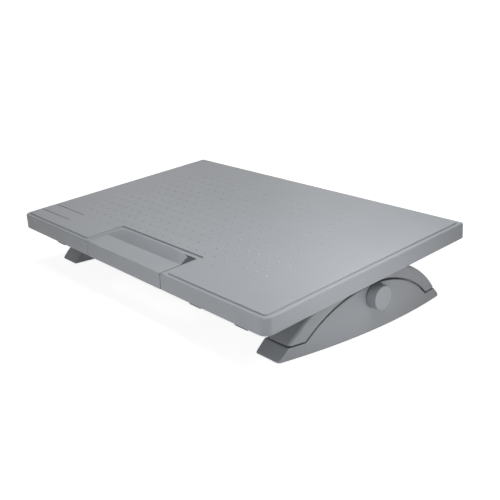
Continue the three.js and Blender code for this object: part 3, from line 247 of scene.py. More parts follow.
# Pull rod and return spring, in the tray's frame
ROD_Z = -18.0
ROD_CORNERS = (
    (9.3, -118.0, -8.0),
    (0, -118.0, -8.0),
    (0, -98.0, -8.0),
    (0, -78.0, ROD_Z),
    (0, -2.8, ROD_Z),
    (9.7, -2.8, ROD_Z),
)
ROD_RADIUS = 1.5
ROD_BEND = 3.0
ROD_BEND_STEPS = 9
SPRING_FRONT = -36.1
SPRING_LENGTH = 15.4
SPRING_RADIUS = 3.4
SPRING_WIRE = 0.5
SPRING_TURNS = 6
SPRING_STEPS = 20

# Colours, floor and lights, in metres and watts
TRAY_COLOUR = (0.298, 0.316, 0.34)
FOOT_COLOUR = (0.288, 0.302, 0.322)
WHITE = (1, 1, 1, 1)
FLOOR_REACH = 12.0
FLOOR_COLOUR = (0.5, 0.5, 0.5, 1)
FLOOR_GLOW = 0.9
GLOW_NEAR = 0.3
GLOW_FAR = 0.9
WORLD_LIGHT = 0.08
MIDDLE = (0.1, 0.0, 0.06)
LAMPS = (
    ("top_light", (0.2, -0.15, 0.75), (0.2, -0.15, 0.0), (0.35, 0.35), 1.95),
    ("edge_light", (0.25, 0.0, 0.45), (0.25, 0.0, 0.0), (0.2, 0.2), 0.3),
    ("side_high", (0.38, -0.05, 0.25), (0.26, -0.03, 0.06), (0.15, 0.15), 0.22),
    ("side_panel", (0.5, 0.0, 0.04), (0.25, -0.03, 0.06), (0.2, 0.07), 0.24),
    ("front_panel", (0.08, -0.5, 0.028), (0.08, -0.18, 0.035), (0.36, 0.05), 0.42),
    ("corner_panel", (0.48, -0.4, 0.03), (0.28, -0.18, 0.07), (0.2, 0.05), 0.27),
    ("front_high", (0.1, -1.44, 0.96), MIDDLE, (0.4, 0.4), 0.85),
    ("rear_left", (-1.22, 0.48, 1.01), MIDDLE, (0.4, 0.4), 0.55),
    ("rear_low", (-0.94, 1.24, 0.585), MIDDLE, (0.4, 0.4), 0.28),
    ("rear_glint", (-0.3, 0.69, 1.44), MIDDLE, (0.15, 0.15), 5.0),
)

# Camera, from the photograph's straight edges
CAMERA_PLACE = (0.8261, -0.6784, 0.40852)
CAMERA_YAW = math.radians(48.795)
CAMERA_PITCH = math.radians(18.791)
CAMERA_ROLL = math.radians(-0.679)
CAMERA_FOCAL_SHARE = 1.53602
SENSOR_WIDTH = 36.0


# Grids and outlines

def strips(rows, columns):
    """Quads between neighbouring rows of a grid whose columns close on themselves."""
    start = np.arange(rows - 1)[:, None] * columns
    here = np.arange(columns)[None, :]
    after = (here + 1) % columns
    corners = [start + here, start + after, start + columns + after, start + columns + here]
    return np.stack(corners, axis=-1).reshape(-1, 4)


def lofted(rows):
    """Closed skin through a stack of closed rings, with its first and last ring filled."""
    rows = np.asarray(rows, float)
    count, around = rows.shape[:2]
    faces = strips(count, around).tolist()
    faces.append(list(range(around)))
    faces.append(list(range((count - 1) * around, count * around)))
    return rows.reshape(-1, 3), faces


def arc(centre, radius, start, end, steps):
    """Points on a circle: centre + radius (cos angle, sin angle), with start and end in degrees."""
    angle = np.radians(np.linspace(start, end, steps))
    return np.stack([centre[0] + radius * np.cos(angle), centre[1] + radius * np.sin(angle)], axis=1)


def bend(start, control, end, steps):
    """Quadratic curve from start to end, drawn towards control."""
    share = np.linspace(0, 1, steps)[:, None]
    start, control, end = (np.array(point, float) for point in (start, control, end))
    return (1 - share) ** 2 * start + 2 * share * (1 - share) * control + share ** 2 * end


def outlined(corners):
    """Closed outline through corners (a, b, radius, steps), each an arc that touches both of its edges."""
    place = np.array([corner[:2] for corner in corners], float)
    before = np.roll(place, 1, axis=0) - place
    after = np.roll(place, -1, axis=0) - place
    before /= np.linalg.norm(before, axis=1, keepdims=True)
    after /= np.linalg.norm(after, axis=1, keepdims=True)
    points = []
    for (a, b, radius, steps), into, out in zip(corners, before, after):
        half = math.acos(float(np.clip(into @ out, -1, 1))) / 2
        middle = (into + out) / np.linalg.norm(into + out)
        centre = np.array([a, b]) + middle * radius / math.sin(half)
        first = np.array([a, b]) + into * radius / math.tan(half) - centre
        last = np.array([a, b]) + out * radius / math.tan(half) - centre
        start = math.atan2(first[1], first[0])
        sweep = (math.atan2(last[1], last[0]) - start + math.pi) % (2 * math.pi) - math.pi
        points.append(arc(centre, radius, math.degrees(start), math.degrees(start + sweep), steps))
    return np.concatenate(points)


def shrunk(points, distance):
    """The outline moved inwards: each point goes along the mitre of its two edges' inward normals."""
    after = np.roll(points, -1, axis=0)
    area = np.sum(points[:, 0] * after[:, 1] - points[:, 1] * after[:, 0]) / 2
    turn = 1 if area > 0 else -1
    edge = after - points
    edge /= np.maximum(np.linalg.norm(edge, axis=1, keepdims=True), 1e-9)
    normal = turn * np.stack([-edge[:, 1], edge[:, 0]], axis=1)
    earlier = np.roll(normal, 1, axis=0)
    mitre = (normal + earlier) / np.maximum(1 + np.sum(normal * earlier, axis=1, keepdims=True), LEAST_MITRE)
    return points + distance * mitre


def carried(outline, low, high, edge=0.0, steps=5):
    """An outline in Y and Z carried along X from low to high, its two rims rounded by a radius of edge."""
    angle = np.linspace(0, math.pi / 2, steps if edge > 0 else 1)
    depth = edge * (1 - np.sin(angle))
    inset = edge * (1 - np.cos(angle))
    places = np.concatenate([low + depth[::-1], high - depth])
    insets = np.concatenate([inset[::-1], inset])
    return lofted([
        np.column_stack([np.full(len(outline), x), shrunk(outline, inwards)])
        for x, inwards in zip(places, insets)
    ])


def turned(profile, axis, centre, sides):
    """A profile of (place along the axis, radius) turned once round the axis through centre."""
    profile = np.array(profile, float)
    angle = np.linspace(0, 2 * math.pi, sides, endpoint=False)
    along = np.repeat(profile[:, :1], sides, axis=1)
    across = profile[:, 1:] * np.cos(angle)
    up = profile[:, 1:] * np.sin(angle)
    order = {"x": (along, across, up), "z": (across, up, along)}[axis]
    points, faces = lofted(np.stack(order, axis=-1))
    return points + np.array(centre, float), faces


def round_bar(low, high, radius, edge, axis, centre, sides=64):
    """A round bar with rounded rims, as a turned profile that starts and ends on its axis."""
    first = arc((low + edge, radius - edge), edge, 180, 90, 5)
    last = arc((high - edge, radius - edge), edge, 90, 0, 5)
    profile = np.concatenate([[[low, 0.0]], first, last, [[high, 0.0]]])
    return turned(profile, axis, centre, sides)


def swept(path, radius, sides=14):
    """A round wire along a path: rings square to it, each turned from the last by the least angle."""
    path = np.asarray(path, float)
    tangent = np.gradient(path, axis=0)
    tangent /= np.linalg.norm(tangent, axis=1, keepdims=True)
    normal = np.cross(tangent[0], [0.3, 0.2, 1.0])
    angle = np.linspace(0, 2 * math.pi, sides, endpoint=False)
    rows = []
    for point, along in zip(path, tangent):
        normal = normal - along * (normal @ along)
        normal /= np.linalg.norm(normal)
        other = np.cross(along, normal)
        rows.append(point + radius * (np.outer(np.cos(angle), normal) + np.outer(np.sin(angle), other)))
    return lofted(rows)


def block(x_range, y_range, z_range):
    """A box with its edges rounded, as a rectangle carried along X."""
    (front, back), (low, high) = y_range, z_range
    corners = [(front, low), (back, low), (back, high), (front, high)]
    outline = outlined([(*corner, RIB_EDGE, 3) for corner in corners])
    return carried(outline, *x_range, RIB_EDGE, steps=3)


# Places and pieces

def in_tray_frame(points):
    """From the tray's frame to the row's: turned about the tilt shaft by the rest tilt."""
    y = points[:, 1] - PIVOT_BEHIND_CENTRE
    z = points[:, 2] + RIM_ABOVE_PIVOT
    turned_y = y * math.cos(REST_TILT) - z * math.sin(REST_TILT)
    turned_z = y * math.sin(REST_TILT) + z * math.cos(REST_TILT)
    return np.column_stack([points[:, 0], PIVOT_Y + turned_y, PIVOT_Z + turned_z])


def in_foot_frame(points):
    """From the feet's frame to the row's: centred under the tilt shaft and raised by the pads."""
    return points + np.array([0, PIVOT_Y, PAD_STAND])


def other_side(shell):
    """The shell mirrored in X, its faces turned round so that they still look outwards."""
    points, faces = shell
    return points * np.array([-1, 1, 1]), [face[::-1] for face in faces]


def cleaned(shell):
    """One shell with coincident points merged and its faces turned outwards."""
    points, faces = shell
    work = bmesh.new()
    made = [work.verts.new(point) for point in points]
    for face in faces:
        work.faces.new([made[index] for index in face])
    bmesh.ops.remove_doubles(work, verts=work.verts, dist=SAME_POINT)
    bmesh.ops.dissolve_degenerate(work, edges=work.edges, dist=LEAST_EDGE)
    bmesh.ops.recalc_face_normals(work, faces=work.faces)
    work.verts.index_update()
    points = np.array([vertex.co for vertex in work.verts])
    faces = [[vertex.index for vertex in face.verts] for face in work.faces]
    work.free()
    return points, faces


def make_piece(name, shells, place, material, body, node):
    """One named piece from closed shells, each cleaned by itself, in place of a node of the frame."""
    points, faces, count = [], [], 0
    for shell in shells:
        shell_points, shell_faces = cleaned(shell)
        points.append(place(shell_points) * METRES_PER_MM)
        faces += [[index + count for index in face] for face in shell_faces]
        count += len(shell_points)
    mesh = bpy.data.meshes.new(name)
    mesh.from_pydata(np.concatenate(points).tolist(), [], faces)
    mesh.polygons.foreach_set("use_smooth", np.ones(len(mesh.polygons), bool))
    mesh.set_sharp_from_angle(angle=SHARP_ANGLE)
    mesh.materials.append(material)
    piece = bpy.data.objects.new(name, mesh)
    bpy.context.collection.objects.link(piece)
    shading = piece.modifiers.new("flat_faces_stay_flat", "WEIGHTED_NORMAL")
    shading.keep_sharp = True
    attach(piece, body)
    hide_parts(node)
    return piece


def make_pair(name, shells, place, material, body, node):
    """A piece on the right and its mirror image on the left."""
    mirrored = [other_side(shell) for shell in shells]
    for side, made in (("right", shells), ("left", mirrored)):
        make_piece(f"{name}_{side}", made, place, material, body, f"{node}_{side}")


# Shader maths

class Value:
    """A shader socket that adds Math nodes when it is used in an expression."""

    def __init__(self, shader, socket):
        self.shader = shader
        self.socket = socket

    def joined(self, operation, other):
        node = self.shader.node("ShaderNodeMath", {"operation": operation}, {0: self, 1: other})
        return self.shader.value(node)

    def __add__(self, other):
        return self.joined("ADD", other)

    def __mul__(self, other):
        return self.joined("MULTIPLY", other)

    def at_least(self, other):
        return self.joined("MAXIMUM", other)

    __radd__ = __add__
    __rmul__ = __mul__


class Shader:
    """The nodes of a material or world, added one by one."""

    def __init__(self, owner):
        owner.use_nodes = True
        self.owner = owner
        self.tree = owner.node_tree
        self.tree.nodes.clear()

    def node(self, kind, settings=None, inputs=None):
        """A node of this type: its settings are set first, then the values or links of its sockets."""
        node = self.tree.nodes.new(kind)
        for key, value in (settings or {}).items():
            setattr(node, key, value)
        for key, value in (inputs or {}).items():
            if isinstance(value, Value):
                self.tree.links.new(value.socket, node.inputs[key])
            else:
                node.inputs[key].default_value = value
        return node

    def value(self, node, output=0):
        return Value(self, node.outputs[output])

    def place(self, scale=(1, 1, 1)):
        """Object coordinates, stretched by scale."""
        coordinates = self.node("ShaderNodeTexCoord")
        inputs = {"Vector": self.value(coordinates, "Object"), "Scale": scale}
        return self.value(self.node("ShaderNodeMapping", {}, inputs))

    def noise(self, vector, grain, detail, roughness=0.5):
        """Noise from 0 to 1 whose blobs are about grain millimetres across."""
        scale = 1 / (grain * METRES_PER_MM)
        inputs = {"Vector": vector, "Scale": scale, "Detail": detail, "Roughness": roughness}
        return self.value(self.node("ShaderNodeTexNoise", {}, inputs))

    def ramp(self, value, low, high):
        """0 below low and 1 above high, straight between."""
        inputs = {"Value": value, "From Min": low, "From Max": high}
        return self.value(self.node("ShaderNodeMapRange", {"clamp": True}, inputs))

    def shaded(self, colour, mask, low, high):
        """The colour times low where the mask is 0 and times high where it is 1."""
        first, second = (tuple(min(part * gain, 1.0) for part in colour) + (1.0,) for gain in (low, high))
        node = self.node("ShaderNodeMix", {"data_type": "RGBA"}, {"Factor": mask, 6: first, 7: second})
        return self.value(node, 2)

    def bump(self, height, distance, strength):
        """A normal tipped by a height, whose full step is distance millimetres."""
        inputs = {"Height": height, "Distance": distance * METRES_PER_MM, "Strength": strength}
        return self.value(self.node("ShaderNodeBump", {}, inputs))

    def finish(self, **inputs):
        """The material, once these sockets of its surface are set or linked."""
        named = {key.replace("_", " "): value for key, value in inputs.items()}
        surface = self.node("ShaderNodeBsdfPrincipled", {}, named)
        self.node("ShaderNodeOutputMaterial", {}, {"Surface": self.value(surface)})
        return self.owner


def material_shader(name):
    return Shader(bpy.data.materials.new(name))


# Finishes

def moulded_plastic(name, colour, roughness):
    """Moulded plastic: spark texture in the bump, faint flow clouds and fine speckle in colour and gloss."""
    shader = material_shader(name)
    here = shader.place()
    clouds = shader.noise(here, grain=46, detail=3)
    speckle = shader.noise(here, grain=1.1, detail=2)
    spark = shader.noise(here, grain=0.55, detail=1.5, roughness=0.6)
    mottle = shader.ramp(clouds * 0.6 + speckle * 0.4, 0.36, 0.64)
    return shader.finish(
        Base_Color=shader.shaded(colour, mottle, 0.975, 1.025),
        Roughness=roughness - 0.04 + speckle * 0.08,
        Normal=shader.bump(spark, distance=0.02, strength=0.5),
        IOR=1.49,
    )


def rubber(name, colour):
    """Matt rubber with a bloom of paler dust and a fine matt grain."""
    shader = material_shader(name)
    here = shader.place()
    bloom = shader.ramp(shader.noise(here, grain=5, detail=4), 0.42, 0.7)
    grain = shader.noise(here, grain=0.4, detail=2)
    return shader.finish(
        Base_Color=shader.shaded(colour, bloom, 0.9, 1.35),
        Roughness=0.72 + grain * 0.15,
        Normal=shader.bump(grain, distance=0.03, strength=0.5),
    )


def zinc_steel(name, colour, stretch):
    """Zinc plated steel: drawn lines along the bar, soft clouds of brighter and duller plate."""
    shader = material_shader(name)
    lines = shader.noise(shader.place(stretch), grain=0.5, detail=3)
    clouds = shader.noise(shader.place(), grain=9, detail=3)
    mottle = shader.ramp(clouds, 0.35, 0.65)
    return shader.finish(
        Base_Color=shader.shaded(colour, mottle, 0.86, 1.06),
        Metallic=1.0,
        Roughness=0.26 + clouds * 0.12 + lines * 0.1,
        Normal=shader.bump(lines, distance=0.01, strength=0.4),
    )


def acetal(name, colour):
    """Milky bearing plastic with soft clouds."""
    shader = material_shader(name)
    here = shader.place()
    clouds = shader.ramp(shader.noise(here, grain=4, detail=2), 0.35, 0.65)
    return shader.finish(
        Base_Color=shader.shaded(colour, clouds, 0.95, 1.04),
        Roughness=0.38 + shader.noise(here, grain=0.8, detail=2) * 0.12,
    )


def brake_lining(name, colour):
    """Pressed friction lining: dark binder with paler fibres."""
    shader = material_shader(name)
    strands = shader.noise(shader.place((1, 4, 4)), grain=1.2, detail=4, roughness=0.7)
    fibres = shader.ramp(strands, 0.5, 0.66)
    return shader.finish(
        Base_Color=shader.shaded(colour, fibres, 0.8, 2.4),
        Roughness=0.9,
        Normal=shader.bump(fibres, distance=0.08, strength=0.6),
    )


tray_finish = moulded_plastic("tray_plastic", TRAY_COLOUR, 0.38)
foot_finish = moulded_plastic("foot_plastic", FOOT_COLOUR, 0.4)
rubber_finish = rubber("black_rubber", (0.03, 0.031, 0.033))
steel_finish = zinc_steel("zinc_steel", (0.5, 0.51, 0.53), (0.04, 1, 1))
sheet_finish = zinc_steel("zinc_sheet", (0.47, 0.48, 0.5), (1, 0.15, 1))
acetal_finish = acetal("natural_acetal", (0.72, 0.7, 0.64))
lining_finish = brake_lining("brake_lining", (0.035, 0.03, 0.027))


# Tray

def tray_ring(outer, notch, z, outer_corner, mouth_corner, back_corner, slit=0.0, side_floor=-math.inf):
    """The tray's plan at one height: a rounded rectangle with the pedal's notch in its front edge.

    outer and notch are insets from the skirt's face and from the opening's face. The left edge carries two
    slits that reach inwards by slit, and the notch's back edge rises over the pull rod's slot. The notch's
    sides keep above side_floor.
    """
    x = TRAY_WIDTH / 2 - outer
    y = TRAY_DEPTH / 2 - outer
    front = -y - FRONT_DRAFT * max(-z, 0) / SKIRT_DEPTH
    tighter = outer_corner - REAR_CORNER_LESS
    rear_corner = tighter if tighter > LEAST_CORNER else outer_corner
    notch_x = OPENING_WIDTH / 2 + notch
    notch_y = TRAY_FRONT + OPENING_DEPTH + notch
    slits = []
    for place in GROOVE_PLACES:
        high, low = place + GROOVE_WIDTH / 2, place - GROOVE_WIDTH / 2
        slits += [(-x, high, 0, 1), (-x + slit, high, 0, 1), (-x + slit, low, 0, 1), (-x, low, 0, 1)]
    plan = outlined_with_points([
        (-x, front, outer_corner, ARC_STEPS),
        (-notch_x, front, mouth_corner, ARC_STEPS),
        (-notch_x, notch_y, back_corner, ARC_STEPS),
        *[(slot_x, notch_y, 0, 1) for slot_x in np.repeat(ROD_SLOT, 2)],
        (notch_x, notch_y, back_corner, ARC_STEPS),
        (notch_x, front, mouth_corner, ARC_STEPS),
        (x, front, outer_corner, ARC_STEPS),
        (x, y, rear_corner, ARC_STEPS),
        (-x, y, rear_corner, ARC_STEPS),
        *slits,
    ])
    heights = np.full(len(plan), float(z))
    heights[SLOT_POINTS] = max(z, ROD_SLOT_TOP)
    heights[SIDE_POINTS] = max(z, side_floor)
    return np.column_stack([plan, heights])


def outlined_with_points(corners):
    """outlined() with single points between its arcs, which don't change the arcs' directions."""
    rounded = outlined([corner for corner in corners if corner[3] > 1])
    points, used = [], 0
    for a, b, _, steps in corners:
        if steps > 1:
            points.append(rounded[used:used + steps])
            used += steps
        else:
            points.append(np.array([[a, b]], float))
    return np.concatenate(points)


def tray_body():
    """The tray's wall, as rings of its plan from under the plate to the top of the raised panel.

    They go down inside the skirt, up outside it, over the rounded rim, through the step groove and up on the
    panel. A row holds what tray_ring takes: two insets, a height, three corner radii, and at times the slits'
    reach and the height that the notch's sides keep.
    """
    wall = SKIRT_WALL
    bottom = -SKIRT_DEPTH
    panel_corners = (PANEL_CORNER,) * 3
    rows = [
        (wall + 1.6, wall + 1.6, -PLATE_WALL, 6.4, 1.0, 4.0),
        (wall + 0.8, wall + 0.8, -PLATE_WALL, 7.2, 1.0, 3.2),
        (wall + 0.2, wall + 0.2, -PLATE_WALL - 0.2, 7.8, 0.9, 2.6),
        (wall, wall, -PLATE_WALL - 0.8, 8.0, 0.8, 2.4),
        (wall, wall, bottom + 0.5, 8.0, 0.8, 2.4),
        (wall - 0.15, wall - 0.15, bottom + 0.15, 8.1, 0.8, 2.3),
        (wall - 0.5, wall - 0.5, bottom, 8.4, 0.8, 2.0),
        (0.5, 0.5, bottom, 10.5, 0.6, 1.4),
        (0.15, 0.15, bottom + 0.15, 10.85, 0.8, 1.1),
        (0.0, 0.0, bottom + 0.5, 11.0, 0.9, 1.0),
    ]
    for angle in np.radians(np.linspace(0, 90, 8)):
        reach = 1 - math.cos(angle)
        z = TRAY_EDGE_ROUND * (math.sin(angle) - 1)
        outer = TRAY_EDGE_ROUND * reach
        rows.append((outer, OPENING_EDGE_ROUND * reach, z, TRAY_CORNER - outer, 0.9 + 0.4 * reach, 1.0))
    ledge_offset = LEDGE - PANEL_INSET
    groove_floor = -STEP_GROOVE_DEPTH
    no_side_groove = (0.0, NOTCH_SIDE_FLOOR)
    groove = PANEL_INSET - STEP_GROOVE_WIDTH
    corner = PANEL_CORNER + STEP_GROOVE_WIDTH
    rows += [
        (groove - 0.35, groove - 0.35 + ledge_offset, 0.0, corner + 0.35, corner, 4.6),
        (groove - 0.1, groove - 0.1 + ledge_offset, -0.1, corner + 0.1, corner, 4.7),
        (groove, groove + ledge_offset, -0.3, corner, corner, 4.8, *no_side_groove),
        (groove + 0.1, groove + 0.1 + ledge_offset, groove_floor, corner, corner, 4.8, *no_side_groove),
        (PANEL_INSET - STEP_SLANT, LEDGE - STEP_SLANT, groove_floor, *panel_corners, *no_side_groove),
        (PANEL_INSET, LEDGE, PANEL_RISE - GROOVE_DEPTH, *panel_corners),
        (PANEL_INSET, LEDGE, PANEL_RISE - GROOVE_DEPTH, *panel_corners, GROOVE_LENGTH),
    ]
    for angle in np.radians(np.linspace(0, 90, 6)[1:]):
        inset = PANEL_EDGE_ROUND * (1 - math.cos(angle))
        z = PANEL_RISE - PANEL_EDGE_ROUND * (1 - math.sin(angle))
        corner_now = PANEL_CORNER - inset
        row = (PANEL_INSET + inset, LEDGE + inset, z, corner_now, corner_now, PANEL_CORNER + inset)
        rows.append((*row, GROOVE_LENGTH - inset))
    return lofted([tray_ring(*row) for row in rows])


def dot_places():
    """The grip dots' lattice: full dots on a block about the centre, and one fainter ring outside it."""
    columns = (np.arange(DOT_COLUMNS + 2) - (DOT_COLUMNS + 1) / 2) * DOT_PITCH
    rows = (np.arange(DOT_ROWS + 2) - (DOT_ROWS + 1) / 2) * DOT_PITCH
    inner_x = DOT_COLUMNS / 2 * DOT_PITCH
    inner_y = DOT_ROWS / 2 * DOT_PITCH
    clear_x = OPENING_WIDTH / 2 + LEDGE + DOT_PITCH / 2
    clear_y = TRAY_FRONT + OPENING_DEPTH + LEDGE
    slit_end = -TRAY_WIDTH / 2 + PANEL_INSET + GROOVE_LENGTH + DOT_PITCH / 2
    places = []
    for x in columns:
        for y in rows:
            faint = abs(x) > inner_x or abs(y) > inner_y
            over_notch = abs(x) < clear_x and y < clear_y
            over_slit = x < slit_end and y < -inner_y
            if not over_notch and not over_slit:
                places.append((x, y, FAINT_DOT_SHARE if faint else 1.0))
    return places


def grip_dot(x, y, share):
    """A shallow dome turned round its upright axis: rise = height cos(pi/2 along)."""
    radius = DOT_RADIUS * share
    height = DOT_HEIGHT * share
    along = np.linspace(0, 1, DOT_RINGS)
    rise = PANEL_RISE + height * np.cos(along * math.pi / 2)
    profile = [(PANEL_RISE - DOT_SINK, 0.0), (PANEL_RISE - DOT_SINK, radius)]
    profile += list(zip(rise[::-1], (radius * along)[::-1]))
    return turned(profile, "z", (x, y, 0), DOT_SIDES)


def rib_gap(y):
    """Half of what a rib across the tray leaves open in its middle, for the pull rod or the bracket."""
    if y < BRACKET_CLEAR_FRONT:
        return ROD_CLEAR
    return BRACKET_CLEAR_HALF if y < BRACKET_CLEAR_BACK else 0.0


def tray_ribs():
    """The rib grid under the plate, with room for the brake bracket, the pull rod and the pedal's opening."""
    z_range = (-PLATE_WALL - RIB_DEPTH, -PLATE_WALL / 2)
    half = RIB_WALL / 2
    front = TRAY_FRONT + SKIRT_WALL / 2
    opening_back = TRAY_FRONT + OPENING_DEPTH + SKIRT_WALL / 2
    shells = []
    for share in LENGTHWISE_RIB_SHARES:
        y = share * TRAY_DEPTH
        gap = rib_gap(y)
        spans = [(-RIB_REACH, -gap), (gap, RIB_REACH)] if gap else [(-RIB_REACH, RIB_REACH)]
        shells += [block(span, (y - half, y + half), z_range) for span in spans]
    for share in CROSSWISE_RIB_SHARES:
        x = share * TRAY_WIDTH
        start = opening_back if abs(x) < OPENING_WIDTH / 2 else front
        shells.append(block((x - half, x + half), (start, -front), z_range))
    return shells


def screw_places():
    """Screw centres with the drop of their bosses and the plate that they hold, in the order of the nodes."""
    places = []
    for side in (-1, 1):
        for end in (-1, 1):
            y = PIVOT_BEHIND_CENTRE + end * SADDLE_SCREW_REACH
            places.append((side * SADDLE_PLACE, y, SADDLE_BOSS, SADDLE_PLATE))
    for side in (-1, 1):
        places.append((side * BRACKET_SCREW_X, BRACKET_SCREW_Y, BRACKET_BOSS, BRACKET_PLATE))
    return places


def screw_bosses():
    return [
        round_bar(-PLATE_WALL - drop, -PLATE_WALL / 2, BOSS_RADIUS, BOSS_EDGE, "z", (x, y, 0), sides=32)
        for x, y, drop, _ in screw_places()
    ]


def make_tray():
    dots = [grip_dot(*place) for place in dot_places()]
    shells = [tray_body(), *tray_ribs(), *screw_bosses(), *dots]
    make_piece("tray_moulding", shells, in_tray_frame, tray_finish, "platform", "tray")


# Pedal

def pedal_top():
    """Outer section of the pedal: up its front, over the flat, up a slightly full slope, over the crest."""
    round_start = (TRAY_FRONT + PEDAL_EDGE_ROUND, -PEDAL_EDGE_ROUND)
    middle = ((RAMP_FOOT + RAMP_CREST) / 2, RAMP_END_RISE / 2 + RAMP_FULLNESS)
    crest_start = (RAMP_CREST - CREST_ROUND, RAMP_END_RISE)
    slope = bend((RAMP_FOOT, 0), middle, crest_start, 14)
    fillet_start = (RAMP_FOOT - RAMP_FOOT_FILLET, 0)
    return np.concatenate([
        [(TRAY_FRONT - FRONT_DRAFT, -SKIRT_DEPTH)],
        arc(round_start, PEDAL_EDGE_ROUND, 180, 90, 7),
        bend(fillet_start, (RAMP_FOOT, 0), slope[2], 6),
        slope[3:],
        bend(crest_start, (RAMP_CREST, RAMP_END_RISE), (RAMP_CREST, RAMP_END_RISE - CREST_ROUND), 6)[1:],
    ])


def pedal_sheet():
    """The pedal's moulded wall: its outer section closed by the same line one wall further in."""
    inner = [
        (RAMP_CREST, -RAMP_BACK_DROP),
        (RAMP_CREST - PEDAL_WALL, -RAMP_BACK_DROP),
        (RAMP_CREST - PEDAL_WALL, RAMP_END_RISE - PEDAL_WALL),
        (RAMP_FOOT + PEDAL_WALL / 4, -PEDAL_WALL),
        (TRAY_FRONT + PEDAL_WALL, -PEDAL_WALL),
        (TRAY_FRONT + PEDAL_WALL - FRONT_DRAFT, -SKIRT_DEPTH),
    ]
    return np.concatenate([pedal_top(), inner])


def up_share(y):
    """0 at the ramp's foot and before it, 1 at its crest."""
    return np.clip((y - RAMP_FOOT) / (RAMP_CREST - RAMP_FOOT), 0, 1)


def bowed(shell):
    """Lifts the ramp by (middle - end rise) (1 - |x / half|^p) up, and narrows it to half - inset up."""
    points, faces = shell
    points = points.copy()
    up = up_share(points[:, 1])
    along = np.clip(np.abs(points[:, 0]) / PEDAL_HALF, 0, 1)
    points[:, 2] += (RAMP_MIDDLE_RISE - RAMP_END_RISE) * (1 - along ** RAMP_BOW_POWER) * up
    points[:, 0] *= 1 - RAMP_END_INSET / PEDAL_HALF * up
    return points, faces


def pedal_sheet_shell():
    """The wall's section at stations that gather towards the ends, x = reach sin."""
    section = pedal_sheet()
    reach = PEDAL_HALF - PEDAL_END - HAIRLINE
    places = reach * np.sin(np.linspace(-math.pi / 2, math.pi / 2, 49))
    return lofted([np.column_stack([np.full(len(section), x), section]) for x in places])


def pedal_end_shell():
    """The pedal's end: its section with the ramp filled in, the top rounded off towards the end face.

    The round falls by r (1 - sqrt(1 - t^2)), t running from 0 to 1 over the last r of the width. r grows up
    the ramp.
    """
    top = pedal_top()
    inner = np.array([
        (RAMP_CREST, -RAMP_BACK_DROP),
        (RAMP_FOOT + PEDAL_WALL / 4, -RAMP_BACK_DROP),
        (RAMP_FOOT + PEDAL_WALL / 4, -PEDAL_WALL),
        (TRAY_FRONT + PEDAL_WALL, -PEDAL_WALL),
        (TRAY_FRONT + PEDAL_WALL - FRONT_DRAFT, -SKIRT_DEPTH),
    ])
    section = np.concatenate([top, inner])
    radius = FLAT_END_ROUND + (RAMP_END_ROUND - FLAT_END_ROUND) * up_share(section[:, 0])
    on_top = np.arange(len(section)) < len(top)
    on_front = section[:, 0] < TRAY_FRONT + PEDAL_EDGE_ROUND / 2
    near_end = RAMP_END_ROUND * (1 - np.sin(np.linspace(0, math.pi / 2, 15)))
    places = np.concatenate([[PEDAL_HALF - PEDAL_END], PEDAL_HALF - near_end])
    rows = []
    for x in places:
        share = np.clip((x - PEDAL_HALF + radius) / radius, 0, 1)
        fall = radius * (1 - np.sqrt(1 - share ** 2)) * on_top
        y = section[:, 0] + fall * on_front
        z = section[:, 1] - fall * ~on_front
        rows.append(np.column_stack([np.full(len(section), x), y, z]))
    return lofted(rows)


def pedal_cheek():
    """Plate under the pedal's end that reaches back to an eye round the pivot."""
    front = TRAY_FRONT + PEDAL_WALL
    top = -PEDAL_WALL - HAIRLINE
    eye = arc(PEDAL_PIVOT, CHEEK_RADIUS, 60, -90, 11)
    return np.concatenate([
        [(front, top), (RAMP_FOOT, top), (RAMP_CREST, -RAMP_BACK_DROP - HAIRLINE)],
        eye,
        [(front, PEDAL_PIVOT[1])],
    ])


def crank_outline():
    """The arm that pulls the rod, from under the flat, past the pivot, to a round eye behind it."""
    eye = arc(CRANK_EYE, CRANK_EYE_RADIUS, -90, 90, 9)
    return np.concatenate([
        [(RAMP_FOOT, -1.5), (RAMP_FOOT, -8.5), (PEDAL_PIVOT[0], -14.75)],
        eye,
        [(-122.8, -5.0), (RAMP_CREST - 1.5, 3.3)],
    ])


def make_pedal():
    end = pedal_end_shell()
    cheek = carried(pedal_cheek(), PEDAL_HALF - PEDAL_WALL, PEDAL_HALF - HAIRLINE)
    ribs = [
        block(
            (share * OPENING_WIDTH - RIB_WALL / 2, share * OPENING_WIDTH + RIB_WALL / 2),
            (TRAY_FRONT + PEDAL_WALL / 2, RAMP_FOOT),
            (-PEDAL_WALL / 2 - PEDAL_RIB_DEPTH, -PEDAL_WALL / 2),
        )
        for share in PEDAL_RIB_SHARES
    ]
    crank = carried(crank_outline(), *CRANK_RANGE, CRANK_EDGE)
    shells = [
        bowed(pedal_sheet_shell()),
        bowed(end),
        bowed(other_side(end)),
        cheek,
        other_side(cheek),
        *ribs,
        crank,
    ]
    make_piece("pedal_moulding", shells, in_tray_frame, tray_finish, "pedal", "pedal")


# Feet

def quarter(corner_x, corner_z, start, end, radius):
    """Rounded corner of every row at once: a quarter circle of each row's radius, as columns of (x, z).

    start and end are the directions, (dx, dz), from the corner to where the round begins and ends.
    """
    columns = []
    for angle in np.linspace(0, math.pi / 2, QUARTER_STEPS):
        near = 1 - math.cos(angle)
        far = 1 - math.sin(angle)
        x = corner_x + radius * (start[0] * far + end[0] * near)
        z = corner_z + radius * (start[1] * far + end[1] * near)
        columns.append((x, z))
    return columns


